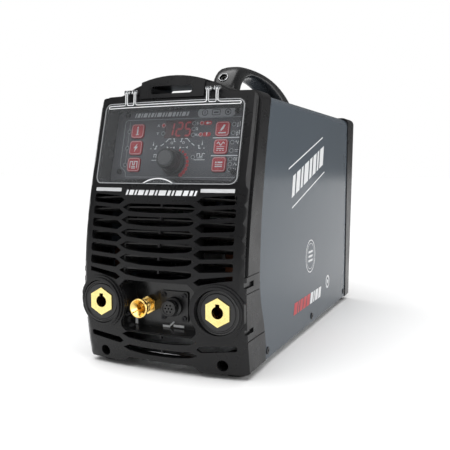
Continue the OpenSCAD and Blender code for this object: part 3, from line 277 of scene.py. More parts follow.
def clear_sheet(name):
    """Clear polycarbonate: mostly see-through, with a sheen that grows towards its edges."""
    m = Nodes(name)
    tree = m.tree
    haze = m.noise(30, detail=4, rough=0.6)
    tone = m.colours(m.spread(haze, 0.3, 0.7, 0, 1), (0.40, 0.41, 0.42), (0.48, 0.49, 0.50))
    m.set(Base_Color=tone, Roughness=m.spread(haze, 0.3, 0.7, 0.05, 0.11))
    m.set(Specular_IOR_Level=0.7)
    through = m.add("ShaderNodeBsdfTransparent")
    through.inputs[0].default_value = (0.96, 0.97, 0.98, 1)
    facing = m.add("ShaderNodeLayerWeight")
    facing.inputs["Blend"].default_value = 0.2
    body = m.spread(facing.outputs["Fresnel"], 0.0, 1.0, 0.045, 0.9)
    mix = m.add("ShaderNodeMixShader")
    tree.links.new(body, mix.inputs[0])
    tree.links.new(through.outputs[0], mix.inputs[1])
    tree.links.new(m.shader.outputs[0], mix.inputs[2])
    tree.links.new(mix.outputs[0], m.output.inputs[0])
    return m.material


BLACK = (0.0075, 0.0075, 0.008)
WHITE_INK = (0.80, 0.81, 0.82)
RED = (0.46, 0.035, 0.045)


def make_materials():
    """One material for each slot of the record."""
    return {
        "moulding_black": moulded("moulding_black", BLACK, rough=0.29, grain=0.5, gloss=0.24),
        "handle_black": moulded("handle_black", (0.010, 0.010, 0.0105), rough=0.27, depth=0.004),
        "inner_black": moulded("inner_black", (0.012, 0.012, 0.012), rough=0.36, depth=0.003),
        "socket_black": moulded("socket_black", (0.010, 0.010, 0.0105), rough=0.34, grain=0.3),
        "knob_grey": moulded("knob_grey", (0.032, 0.032, 0.033), rough=0.38, grain=0.25, depth=0.003),
        "key_red": moulded("key_red", RED, rough=0.42, grain=0.3, depth=0.005),
        "trim_silver": metal("trim_silver", (0.68, 0.69, 0.70), rough=0.42, grain=(60, 700, 700),
                             depth=0.002, tarnish=(0.65, 0.66, 0.67), metallic=0.4),
        "fascia_grey": film("fascia_grey", (0.092, 0.094, 0.104)),
        "display_red": window_red("display_red"),
        "lamp_lens": lens_clear("lamp_lens"),
        "board_green": painted("board_green", (0.02, 0.12, 0.05), rough=0.35),
        "black_steel": metal("black_steel", (0.035, 0.035, 0.037), rough=0.36),
        "zinc_steel": metal("zinc_steel", (0.58, 0.59, 0.60), rough=0.36, grain=(900, 60, 900)),
        "clear_polycarbonate": clear_sheet("clear_polycarbonate"),
        "bright_wire": metal("bright_wire", (0.86, 0.87, 0.88), rough=0.10),
        "brass": metal("brass", (0.96, 0.80, 0.33), rough=0.2, grain=(500, 500, 500),
                       tarnish=(0.93, 0.68, 0.20)),
        "case_paint": painted("case_paint", (0.076, 0.092, 0.109), rough=0.15, depth=0.0008,
                              coat=0.03, gloss=0.12),
        "plate_paint": painted("plate_paint", (0.014, 0.014, 0.015), rough=0.38, peel=0.9),
        "foot_rubber": rubber("foot_rubber", (0.02, 0.02, 0.02)),
        "rocker_red": moulded("rocker_red", (0.42, 0.02, 0.02), rough=0.28, depth=0.006),
        "hose_rubber": rubber("hose_rubber", (0.016, 0.016, 0.016)),
        "sleeve_blue": moulded("sleeve_blue", (0.02, 0.035, 0.09), rough=0.25, depth=0.005),
        "sink_aluminium": metal("sink_aluminium", (0.66, 0.67, 0.68), rough=0.34),
        "ferrite": rubber("ferrite", (0.03, 0.03, 0.032)),
        # painted shade: the copper is darkened nearly to black, so the case's inside seen through the grille stays
        # as dark as shade
        "copper": metal("copper", (0.085, 0.035, 0.02), rough=0.4),
    }


# backward lean of the screw recess in the handle's nose, in degrees
NOSE_TILT = 55.7


def make_own_materials():
    """Finishes of single nodes that differ from the rest of their slot; the socket inserts and the handle's screw
    collar carry painted shade in their hollows.
    """
    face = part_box("insert_right")[0].y
    nose = Vector((0, -sin(radians(NOSE_TILT)), cos(radians(NOSE_TILT))))
    collar = max(vert.co.dot(nose) for vert in frame["nodes"]["handle_fasteners"].data.vertices)
    # painted shade: the brass turns dark brown from 2.5 to 9 mm behind the socket face, deep in the bore
    insert = metal("insert_brass", (0.96, 0.80, 0.33), rough=0.2, grain=(500, 500, 500),
                   tarnish=(0.93, 0.68, 0.20), dark=(0.10, 0.045, 0.02),
                   along=((0, 1, 0), face + 2.5 * MM, face + 9 * MM))
    return {
        "insert_left": insert,
        "insert_right": insert,
        # painted shade: the steel stays bright on the collar's top rim and turns dark below it, down in the nose's
        # screw recess
        "handle_fasteners": metal("handle_steel", (0.80, 0.81, 0.82), rough=0.2,
                                  along=(-nose, 1.6 * MM - collar, 2.2 * MM - collar)),
        "connector_panel": moulded("pocket_black", BLACK, rough=0.2, grain=0.4, depth=0.004),
        "gas_outlet": metal("gas_brass", (0.95, 0.66, 0.22), rough=0.22, grain=(500, 500, 500),
                            tarnish=(0.88, 0.52, 0.14)),
    }


def make_inks_and_highlights():
    return {
        "white": ink("ink_white", WHITE_INK),
        "grey": ink("ink_grey", (0.42, 0.43, 0.45)),
        "heading": ink("ink_heading", (0.66, 0.67, 0.68)),
        "red": ink("ink_red", (0.52, 0.035, 0.045)),
        # pink print for the key borders, also used as painted glow round the lit lamps
        "pink": ink("pink_print_and_glow", (0.74, 0.42, 0.43)),
        "dark": ink("ink_dark", (0.03, 0.031, 0.034)),
        "lit": ink("lit_red", (0.55, 0.05, 0.05), glow=0.22),
        "digit": ink("digit_red", (0.44, 0.05, 0.06), glow=0.10),
        "knob": ink("knob_face", (0.115, 0.116, 0.118), rough=0.45),
        # painted highlights: bright and dim lines along the clear cover's edges, rim and thumb lip
        "edge": ink("highlight_white", (0.82, 0.83, 0.84), rough=0.2),
        "dim_highlight": ink("highlight_dim", (0.40, 0.41, 0.42), rough=0.2),
    }


# ---------------------------------------------------------------- CAD nodes

BEVELS = {
    "front_bezel": 0.55, "rear_bezel": 0.8, "wrap_cover": 0.35, "handle": 1.6,
    "knob": 0.5, "clear_cover": 0.3, "socket_left": 0.4, "socket_right": 0.4,
    "insert_left": 0.45, "insert_right": 0.45, "connector_panel": 0.4, "gas_outlet": 0.2,
    "rubber_feet": 0.6, "base_tray": 0.4, "rear_panel": 0.4, "trim_bars": 0.25,
    "fan_frame": 0.8, "cable_gland": 0.4, "gland_nut": 0.4, "switch_body": 0.5,
    "switch_rocker": 0.5, "grille_louvres": 0.2, "control_socket": 0.25, "gas_valve": 0.4,
}
KEY_BEVEL = 0.7
PLAIN_BEVEL = 0.2
NO_BEVEL = {"hinge_wires", "gas_hose", "fan_guard", "indicator_leds", "display_window"}


def finish_node(name, node, material):
    """Gives a CAD node its material, rounded edges and smooth shading."""
    node.data.materials.clear()
    node.data.materials.append(material)
    for face in node.data.polygons:
        face.use_smooth = True
    weld = node.modifiers.new("weld", "WELD")
    weld.merge_threshold = 0.004 * MM
    flats = node.modifiers.new("flats", "DECIMATE")
    flats.decimate_type = "DISSOLVE"
    flats.angle_limit = radians(0.3)
    if name not in NO_BEVEL:
        width = KEY_BEVEL if name.startswith("key_") else BEVELS.get(name, PLAIN_BEVEL)
        bevel = node.modifiers.new("bevel", "BEVEL")
        bevel.width = width * MM
        bevel.segments = 3
        bevel.limit_method = "ANGLE"
        bevel.angle_limit = radians(32)
        bevel.use_clamp_overlap = True
        bevel.harden_normals = False
        bevel.miter_outer = "MITER_ARC"
    normals = node.modifiers.new("normals", "WEIGHTED_NORMAL")
    normals.keep_sharp = True
    normals.weight = 60


def slot_of_each_node():
    return {part["node"]: part["material_slot"] for part in frame["record"]["subparts"]}


# ---------------------------------------------------------------- places on the object

def joint(name):
    for each in frame["joints"]:
        if each["name"] == name:
            return each
    raise KeyError(name)


# the control panel leans back along the knob's axis, and heights on it count from the window's foot
KNOB_HEIGHT = 29.4
KNOB = Vector(joint("knob_turn")["pos_m"])
KNOB_SIDE = KNOB.x / MM
PANEL_OUT = Vector(joint("knob_turn")["axis"]).normalized()
PANEL_RIGHT = Vector((1, 0, 0))
PANEL_UP = PANEL_OUT.cross(PANEL_RIGHT).normalized()
PANEL_FOOT = Vector((0, KNOB.y, KNOB.z)) - PANEL_UP * (KNOB_HEIGHT * MM)


def on_panel(out=0.0):
    """A placing function: millimetres across and up the panel, out from its face."""
    def place(x, s, h):
        return (PANEL_FOOT + PANEL_RIGHT * (x * MM) + PANEL_UP * (s * MM)
                + PANEL_OUT * ((out + h) * MM))
    return place


def in_panel(point):
    """(across, up, out) in millimetres of a point of the row frame."""
    away = (Vector(point) - PANEL_FOOT) / MM
    return away.dot(PANEL_RIGHT), away.dot(PANEL_UP), away.dot(PANEL_OUT)


def islands(name):
    """Lists of points, one for each separate solid of a CAD node."""
    mesh = bmesh.new()
    mesh.from_mesh(frame["nodes"][name].data)
    bmesh.ops.remove_doubles(mesh, verts=mesh.verts, dist=0.002 * MM)
    left = set(mesh.verts)
    found = []
    while left:
        stack = [left.pop()]
        part = []
        while stack:
            vert = stack.pop()
            part.append(vert.co.copy())
            for edge in vert.link_edges:
                other = edge.other_vert(vert)
                if other in left:
                    left.remove(other)
                    stack.append(other)
        found.append(part)
    mesh.free()
    return found


def panel_span(points):
    """Centre and outermost height of some points, in the panel's millimetres."""
    spots = [in_panel(p) for p in points]
    xs, ss, outs = zip(*spots)
    return (min(xs) + max(xs)) / 2, (min(ss) + max(ss)) / 2, max(outs)


def surface_of(name):
    mesh = bmesh.new()
    mesh.from_mesh(frame["nodes"][name].data)
    tree = BVHTree.FromBMesh(mesh)
    mesh.free()
    return tree


def on_front(name):
    """A placing function over a curved front: across and height on the case, out from it."""
    tree = surface_of(name)
    start = cad_box[0][1] - 0.05
    def place(x, z, h):
        origin = Vector((x * MM, start, (z + RAISED) * MM))
        hit, normal, _, _ = tree.ray_cast(origin, Vector((0, 1, 0)))
        return hit + normal * (h * MM)
    return place


def on_side(sign):
    """A placing function on the flat side of the steel cover. Across runs from front to rear
    on the right side and from rear to front on the left, so that both read the same way."""
    low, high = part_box("wrap_cover")
    plane = high.x if sign > 0 else low.x
    middle = (low.y + high.y) / 2
    def place(u, z, h):
        return Vector((plane + sign * h * MM, middle + sign * u * MM, (z + RAISED) * MM))
    return place


# ---------------------------------------------------------------- raised prints

class Print:
    """Thin closed shapes standing a little proud of a surface."""

    def __init__(self, name, place, low=0.02, high=0.09):
        self.name = name
        self.place = place
        self.low = low
        self.high = high
        self.mesh = bmesh.new()

    def ring_of(self, points, height):
        return [self.mesh.verts.new(self.place(x, y, height)) for x, y in points]

    def shape(self, points):
        """A flat shape with this outline, anticlockwise."""
        top = self.ring_of(points, self.high)
        foot = self.ring_of(points, self.low)
        self.mesh.faces.new(top)
        self.mesh.faces.new(foot[::-1])
        count = len(points)
        for i in range(count):
            j = (i + 1) % count
            self.mesh.faces.new((foot[i], foot[j], top[j], top[i]))

    def band(self, points, width, closed=False):
        """A line of this width along some points, with mitred corners."""
        left, right = [], []
        count = len(points)
        for i, (x, y) in enumerate(points):
            before = points[i - 1] if closed or i else None
            after = points[(i + 1) % count] if closed or i < count - 1 else None
            across = mitre(before, (x, y), after)
            left.append((x + across[0] * width / 2, y + across[1] * width / 2))
            right.append((x - across[0] * width / 2, y - across[1] * width / 2))
        rows = [self.ring_of(left, self.high), self.ring_of(right, self.high),
                self.ring_of(right, self.low), self.ring_of(left, self.low)]
        for i in range(count if closed else count - 1):
            j = (i + 1) % count
            for a in range(4):
                b = (a + 1) % 4
                self.mesh.faces.new((rows[a][i], rows[b][i], rows[b][j], rows[a][j]))
        if not closed:
            self.mesh.faces.new([row[0] for row in rows])
            self.mesh.faces.new([row[-1] for row in rows[::-1]])

    def box(self, x0, y0, x1, y1):
        middle = (y0 + y1) / 2
        self.band([(x0, middle), (x1, middle)], y1 - y0)

    def disc(self, x, y, r, sides=20):
        self.shape([(x + r * cos(tau * i / sides), y + r * sin(tau * i / sides))
                    for i in range(sides)])

    def ring(self, x, y, r, width, sides=28):
        self.band([(x + r * cos(tau * i / sides), y + r * sin(tau * i / sides))
                   for i in range(sides)], width, closed=True)

    def done(self, material, body):
        bmesh.ops.recalc_face_normals(self.mesh, faces=self.mesh.faces)
        data = bpy.data.meshes.new(self.name)
        self.mesh.to_mesh(data)
        self.mesh.free()
        data.materials.append(material)
        piece = bpy.data.objects.new(self.name, data)
        scene.collection.objects.link(piece)
        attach(piece, body)
        return piece


def mitre(before, here, after):
    """Offset of a line's edge from its middle at a corner, for a width of 2."""
    def normal(a, b):
        length = hypot(b[0] - a[0], b[1] - a[1])
        return (-(b[1] - a[1]) / length, (b[0] - a[0]) / length)
    if before is None:
        return normal(here, after)
    if after is None:
        return normal(before, here)
    n0, n1 = normal(before, here), normal(here, after)
    mx, my = n0[0] + n1[0], n0[1] + n1[1]
    size = max(0.5, (mx * mx + my * my) / 2)
    return (mx / size, my / size)


def arc(x, y, r, start, end, steps=8):
    """Points along an arc, in degrees anticlockwise from the right."""
    return [(x + r * cos(radians(start + (end - start) * i / steps)),
             y + r * sin(radians(start + (end - start) * i / steps))) for i in range(steps + 1)]


def rounded(x0, y0, x1, y1, r):
    """Outline of a rounded rectangle, anticlockwise."""
    return (arc(x1 - r, y0 + r, r, -90, 0) + arc(x1 - r, y1 - r, r, 0, 90)
            + arc(x0 + r, y1 - r, r, 90, 180) + arc(x0 + r, y0 + r, r, 180, 270))


def slanted(x, y, width, height, lean):
    """Outline of a parallelogram whose top is shifted by lean."""
    return [(x, y), (x + width, y), (x + width + lean, y + height), (x + lean, y + height)]


# ---------------------------------------------------------------- control panel

SEGMENTS = {
    "0": "abcdef", "1": "bc", "2": "abged", "3": "abgcd", "4": "fgbc",
    "5": "afgcd", "6": "afgecd", "7": "abc", "8": "abcdefg", "9": "abcdfg",
}


def digit(ink_print, number, x, y, width, height, stroke, lean):
    """A seven-segment digit whose lower left corner is at x, y."""
    half = height / 2
    gap = stroke * 0.12
    ends = {
        "a": ((0, height), (width, height)), "g": ((0, half), (width, half)),
        "d": ((0, 0), (width, 0)), "f": ((0, half), (0, height)),
        "b": ((width, half), (width, height)), "e": ((0, 0), (0, half)),
        "c": ((width, 0), (width, half)),
    }
    for name in SEGMENTS[number]:
        (ax, ay), (bx, by) = ends[name]
        length = hypot(bx - ax, by - ay)
        ux, uy = (bx - ax) / length, (by - ay) / length
        points = []
        for along, side in ((gap, 0), (stroke / 2, -0.5), (length - stroke / 2, -0.5),
                            (length - gap, 0), (length - stroke / 2, 0.5), (stroke / 2, 0.5)):
            px = ax + ux * along - uy * side * stroke
            py = ay + uy * along + ux * side * stroke
            points.append((x + px + py * lean, y + py))
        ink_print.shape(points)


def unit_letters(p, word, x, y, h=3.0, w=0.5):
    """Unit signs drawn as plain strokes."""
    strokes = {
        "A": [[(0, 0), (0.35, 1), (0.7, 0)], [(0.16, 0.36), (0.54, 0.36)]],
        "V": [[(0, 1), (0.35, 0), (0.7, 1)]],
        "S": [arc(0.3, 0.72, 0.22, 20, 270, 8) + arc(0.3, 0.27, 0.22, 90, -160, 8)[1:]],
        "%": [[(0, 0), (0.62, 1)], arc(0.1, 0.84, 0.12, 0, 350, 10), arc(0.52, 0.16, 0.12, 0, 350, 10)],
        "H": [[(0, 0), (0, 1)], [(0.5, 0), (0.5, 1)], [(0, 0.5), (0.5, 0.5)]],
        "z": [[(0, 0.6), (0.4, 0.6), (0, 0), (0.4, 0)]],
    }
    for letter in word:
        for line in strokes[letter]:
            p.band([(x + a * h, y + b * h) for a, b in line], w)
        x += 0.95 * h


def lamp_places():
    return [panel_span(points) for points in islands("indicator_leds")]


def panel_lines(inks_and_highlights):
    """Borders, separators and rings round the lamps."""
    p = Print("panel_lines", on_panel())
    left, right, top, foot = -72, 76.2, 80.9, 12.9
    border = ([(right, top)] + arc(left + 4, top - 4, 4, 90, 180)
              + [(left, 26.7), (-70.6, 24.6), (-65.4, 20.6), (-63.6, 18), (-63, foot)]
              + arc(right - 3, foot + 3, 3, -90, 0) + [(right, foot + 9)])
    p.band(border, 0.55)
    lamps = lamp_places()
    column = min(x for x, _, _ in lamps)
    rows = sorted(s for x, s, _ in lamps if x < column + 1)
    ring_r = 2.15
    for low, high in zip(rows, rows[1:] + [top]):
        p.band([(column, low + ring_r + 0.2), (column, high - ring_r - 0.2)], 0.35)
    for x, s, _ in lamps:
        p.ring(x, s, ring_r, 0.55)
    p.done(inks_and_highlights["grey"], "case")
    bars = Print("panel_separators", on_panel())
    for s in (57.5, 37.3):
        bars.box(43, s - 0.55, right, s + 0.55)
    bars.done(inks_and_highlights["white"], "case")


def panel_heading(inks_and_highlights):
    """A plain strip of slanted marks along the top, and a pill with three plain signs."""
    p = Print("panel_heading", on_panel())
    x = -60.5
    for width in (1.6, 3.4, 1.6, 4.6, 2.4, 3.4, 1.6, 5.6, 2.4, 1.6, 4.6, 3.4, 2.4, 1.6, 4.6, 2.4):
        p.shape(slanted(x, 84.0, width, 5.0, 1.4))
        x += width + 1.5
    p.done(inks_and_highlights["heading"], "case")
    pill = Print("panel_pill", on_panel())
    pill.shape(rounded(21, 81.6, 67, 92.2, 5.3))
    pill.done(inks_and_highlights["grey"], "case")
    signs = Print("panel_pill_signs", on_panel(), low=0.1, high=0.16)
    signs.band(arc(30, 86.9, 3.3, 0, 352, 28), 0.8)
    signs.band([(30, 84.9), (30, 88.9)], 0.8)
    signs.band(rounded(39, 83.9, 48.4, 89.9, 1), 0.7, closed=True)
    signs.box(41, 86.2, 46.4, 87.6)
    signs.band(arc(58, 86.9, 3.3, 0, 352, 28), 0.8)
    signs.disc(58, 86.9, 1.3)
    signs.done(inks_and_highlights["dark"], "case")


def panel_signs(inks_and_highlights):
    """Units by the display lamps, the weld cycle diagram and the small signs."""
    p = Print("panel_signs", on_panel())
    unit_letters(p, "A", -28.2, 72.0, h=3.2)
    unit_letters(p, "V", -28.2, 62.5, h=3.2)
    unit_letters(p, "S", 21.6, 73.5, h=2.9)
    unit_letters(p, "%", 21.6, 67.1, h=2.9)
    unit_letters(p, "Hz", 21.4, 60.3, h=2.7, w=0.45)
    weld_cycle(p)
    side_signs(p)
    p.done(inks_and_highlights["white"], "case")


def weld_cycle(p):
    """Gas, ramp up, two welding levels, ramp down and gas, as a broken line above the knob."""
    wide = 0.95
    for side in (-1, 1):
        def flip(*points):
            return [(side * x, s) for x, s in points]
        p.band(flip((21.4, 49.2), (17.6, 51.8)), wide)
        p.band(flip((15.4, 53.6), (11.6, 57.4), (8.6, 57.4)), wide)
        p.band(flip((6.2, 57.4), (4.6, 57.4), (4.6, 54), (2.8, 54)), wide)
        p.band(flip((25.6, 49.2), (27.2, 49.2), (27.2, 45.8), (29.4, 45.8)), wide)
        p.shape(sorted_turn(flip((30.2, 49.6), (31.6, 49.6), (30.9, 55.2))))
        p.disc(side * 33.6, 46.0, 0.65, 12)
        p.ring(side * 7.4, 52.6, 1.3, 0.5, 16)
        p.shape(sorted_turn(flip((13.2, 45.6), (13.2, 48.6), (10.8, 47.1))))
        p.shape(sorted_turn(flip((3.2, 45.6), (3.2, 48.6), (5.6, 47.1))))
        p.box(side * 7.9 - 1.1, 46.8, side * 7.9 + 1.1, 47.4)


def sorted_turn(points):
    """The same outline, anticlockwise."""
    area = sum(a[0] * b[1] - b[0] * a[1] for a, b in zip(points, points[1:] + points[:1]))
    return points if area > 0 else points[::-1]


def wave(x, y, width, height, kind, steps=12):
    """Points of one and a half periods of a sine, square or triangle wave."""
    if kind == "sine":
        return [(x + width * i / steps, y + height / 2 * sin(1.5 * tau * i / steps))
                for i in range(steps + 1)]
    half = width / 3
    if kind == "square":
        return [(x, y - height / 2), (x, y + height / 2), (x + half, y + height / 2),
                (x + half, y - height / 2), (x + 2 * half, y - height / 2),
                (x + 2 * half, y + height / 2), (x + width, y + height / 2)]
    return [(x, y - height / 2), (x + half, y + height / 2), (x + 2 * half, y - height / 2),
            (x + width, y + height / 2)]


def side_signs(p):
    """Signs beside the right lamps, and the two by the knob."""
    column = 71.2
    thin = 0.5
    for s, marks in ((72.4, 1), (62.7, 2)):
        for i in range(2):
            x = column + 2.6 * i
            p.band([(x, s - 2.2), (x, s + 2.2)], 0.6)
            tip = s + (1.9 if i else -1.9)
            turn = 1 if i else -1
            p.shape(sorted_turn([(x - 1, tip), (x + 1, tip), (x, tip + 1.5 * turn)]))
            if marks == 2:
                p.band([(x - 0.9, s), (x + 0.9, s)], 0.5)
    p.band(wave(column - 0.6, 52.3, 4.8, 3, "sine"), thin)
    p.box(column - 0.6, 43.6, column + 4.2, 44.1)
    for i in range(3):
        p.box(column - 0.6 + 1.8 * i, 41.8, column + 0.6 + 1.8 * i, 42.3)
    p.band(wave(column - 0.6, 33.5, 4.8, 2.8, "square"), thin)
    p.band(wave(column - 0.6, 27.7, 4.8, 2.8, "triangle"), thin)
    p.band(wave(column - 0.6, 21.7, 4.8, 2.6, "sine"), thin)
    p.band(wave(-28.5, 37.6, 8.4, 3.4, "square"), 0.75)
    p.box(-31.0, 32.2, -19.5, 32.9)
    p.band(wave(26.0, 38.2, 9.4, 3.4, "square"), 0.75)
    p.box(22.6, 32.4, 36.0, 33.1)
    p.box(26.0, 34.6, 33.0, 35.2)


def panel_reds(inks_and_highlights):
    """Dots round the knob, growing clockwise, and two red tags with their signs."""
    p = Print("panel_reds", on_panel())
    steps = 9
    for i in range(steps):
        turn = radians(72 - 128 * i / (steps - 1))
        size = 1.2 + 1.25 * i / (steps - 1)
        p.disc(-0.8 + 16 * cos(turn), KNOB_HEIGHT - 0.6 + 16 * sin(turn), size)
    for s in (74.9, 61.8):
        p.shape(rounded(30.2, s - 2.4, 40.0, s + 2.4, 2.3))
    p.done(inks_and_highlights["red"], "case")
    signs = Print("panel_tag_signs", on_panel(), low=0.1, high=0.16)
    signs.shape([(32.6, 74.9), (34.6, 73.3), (36.6, 74.9), (34.6, 76.5)])
    signs.box(36.4, 74.5, 38.6, 75.3)
    signs.band([(35, 60.4), (35, 63.2)], 1.0)
    signs.disc(35, 63.4, 0.9)
    signs.done(inks_and_highlights["white"], "case")


LIT = ((-20.4, 73.4), (27.7, 74.9), (27.7, 61.8))


def lit_lamps(inks_and_highlights):
    """Glowing domes on the lamps that are on, and round each a pink ring of painted glow that the lamp casts."""
    for i, (want_x, want_s) in enumerate(LIT):
        x, s, out = min(lamp_places(), key=lambda lamp: hypot(lamp[0] - want_x, lamp[1] - want_s))
        p = Print(f"lamp_glow_{i}", on_panel(), low=out + 0.02, high=out + 0.12)
        p.disc(x, s, 1.3, 24)
        p.done(inks_and_highlights["lit"], "case")
        # painted light: a pink ring over the printed ring, the glow that the lit lamp casts round it
        q = Print(f"lamp_glow_spill_{i}", on_panel(), low=0.02, high=0.14)
        q.ring(x, s, 2.15, 0.75)
        q.done(inks_and_highlights["pink"], "case")


def display_digits(inks_and_highlights):
    """A three-digit reading on the red window."""
    x, s, out = panel_span([v.co for v in frame["nodes"]["display_window"].data.vertices])
    p = Print("display_digits", on_panel(), low=out + 0.02, high=out + 0.1)
    width, height, pitch = 6.4, 15.2, 10.8
    for i, number in enumerate("125"):
        digit(p, number, x - pitch - width / 2 + pitch * i - 0.6, s - height / 2,
              width, height, 2.1, 0.09)
    p.done(inks_and_highlights["digit"], "case")


# ---------------------------------------------------------------- keys

def key_info(p):
    p.disc(0, 4.1, 1.15)
    p.band([(-1.5, 1.6), (0.75, 1.6)], 1.0)
    p.band([(0, 2.0), (0, -4.4)], 1.9)
    p.band([(-2, -4.4), (2, -4.4)], 1.0)


def key_strike(p):
    p.shape([(-1.5, -5.2), (3.0, 1.2), (0.6, 1.0), (2.2, 5.2), (-2.8, -0.6), (-0.4, -0.5)])


def key_pulse(p):
    p.band([(-4.6, -4.2), (-4.6, 3.6), (-1.2, 3.6), (-1.2, -0.2), (1.2, -0.2), (1.2, 3.6),
            (4.6, 3.6), (4.6, -4.2)], 1.0)
    p.box(-2.6, -4.7, 2.6, -3.7)
    p.box(-2.6, -2.9, 2.6, -1.9)


def key_torch(p):
    p.box(-4.6, -5.2, 4.6, -4.0)
    p.shape([(-1.4, -2.6), (1.6, 0.2), (3.4, 4.4), (1.4, 4.9), (-0.3, 2.1), (-2.3, -0.9)])
    p.shape([(-2.9, -3.3), (-1.9, -2.6), (-2.6, -1.9)])


def key_current(p):
    p.band(wave(-4.4, 3.1, 8.8, 3.4, "sine", 16), 0.95)
    p.box(-4.6, -0.45, 4.6, 0.1)
    p.box(-4.4, -3.0, 4.4, -2.1)
    for i in range(3):
        p.box(-4.4 + 3.4 * i, -5.0, -2.4 + 3.4 * i, -4.1)


def key_trigger(p):
    p.disc(-3.4, 2.1, 1.0)
    p.box(-1.4, 1.3, 4.4, 2.9)
    p.box(-4.4, -0.8, 4.4, -0.2)
    p.box(-4.4, -3.1, 4.4, -1.9)


KEY_ART = {"key_info": key_info, "key_strike": key_strike, "key_pulse": key_pulse,
           "key_torch": key_torch, "key_current": key_current, "key_trigger": key_trigger}


def key_prints(inks_and_highlights):
    """Each key's border and sign ride with the key."""
    for name, draw in KEY_ART.items():
        x, s, out = panel_span([v.co for v in frame["nodes"][name].data.vertices])
        base = on_panel(out)
        def place(u, v, h):
            return base(x + u, s + v, h)
        border = Print(name + "_border", place, low=0.01, high=0.07)
        border.band(rounded(-7.35, -7.35, 7.35, 7.35, 2.6), 0.8, closed=True)
        border.done(inks_and_highlights["pink"], name)
        sign = Print(name + "_sign", place, low=0.01, high=0.07)
        draw(sign)
        sign.done(inks_and_highlights["white"], name)


# ---------------------------------------------------------------- prints on the case

def front_band(inks_and_highlights):
    """A strip of slanted marks between the trim bars."""
    p = Print("front_band", on_front("front_bezel"), low=0.02, high=0.12)
    x = -43.5
    for width in (2.2, 5.4, 2.2, 7.0, 3.4, 5.4, 2.2, 8.6, 3.4, 2.2, 7.0, 5.4, 3.4, 2.2):
        p.shape(slanted(x, 188.9, width, 5.4, 1.6))
        x += width + 2.0
    p.done(inks_and_highlights["white"], "case")


def side_prints(inks_and_highlights, sign, name):
    """Plain stripes, slanted marks and a ring on one side of the steel cover."""
    place = on_side(sign)
    rise = 44 / 153
    p = Print("side_marks_" + name, place, low=0.03, high=0.15)
    p.band([(-105, 217), (50, 217 + 155 * rise)], 1.7)
    p.band([(-90, 169), (62, 169 + 152 * rise)], 1.7)
    x = -92.0
    for width in (11, 15, 8, 19, 11, 15, 8, 19):
        foot = 182 + (x + 90) * rise
        p.shape([(x, foot), (x + width, foot + width * rise),
                 (x + width + 5, foot + 27 + width * rise), (x + 5, foot + 27)])
        x += width + 5.5
    p.ring(-5, 98, 22, 1.3, 64)
    p.ring(-5, 98, 17.5, 0.6, 64)
    for i in range(3):
        p.box(-15, 90.6 + 6 * i, 5, 93.4 + 6 * i)
    p.ring(90, 47, 8.5, 3.0, 40)
    p.disc(90, 47, 3.2, 24)
    q = Print("side_stripe_" + name, place, low=0.03, high=0.15)
    x = -80.0
    for i, width in enumerate((14, 5, 12, 12, 14, 12, 5, 14, 12)):
        (q if i < 5 else p).shape(slanted(x, 31, width, 15, 5))
        x += width + 3.6
    p.done(inks_and_highlights["white"], "case")
    q.done(inks_and_highlights["red"], "case")


def pocket_signs(inks_and_highlights):
    """Flow sign under the gas fitting and switch sign under the control socket."""
    wall = on_front("connector_panel")(-15, 60, 0).y
    def place(x, z, h):
        return Vector((x * MM, wall - h * MM, (z + RAISED) * MM))
    p = Print("pocket_signs", place, low=0.03, high=0.25)
    p.box(-42.6, 41.5, -39.4, 48.5)
    p.box(-7, 41.1, 2, 43.6)
    p.band([(1.6, 42.7), (7.6, 48.2)], 1.7)
    p.box(6.6, 42.2, 19.7, 44.8)
    p.done(inks_and_highlights["white"], "case")


# ---------------------------------------------------------------- knob and clear cover

def knob_face(inks_and_highlights):
    """A paler disc and rim on the knob's flat end."""
    _, _, out = panel_span([v.co for v in frame["nodes"]["knob"].data.vertices])
    p = Print("knob_face", on_panel(out), low=-0.25, high=0.03)
    p.disc(KNOB_SIDE, KNOB_HEIGHT, 8.1, 64)
    p.done(inks_and_highlights["knob"], "knob")


LUG_RIGHT = (54.4, 57.8)
LUG_LEFT = (43.4, 46.8)
LUG_TOP = 301.2


def lug_path(low, high, line):
    """Up one edge of a lug, over its top and down the other, from right to left."""
    inset = 0.65
    middle, r = (low + high) / 2, (high - low) / 2 - inset
    return ([(high - inset, line + 1.6), (high - inset, LUG_TOP)]
            + arc(middle, LUG_TOP, r, 0, 180, 6)[1:] + [(low + inset, line + 1.6)])


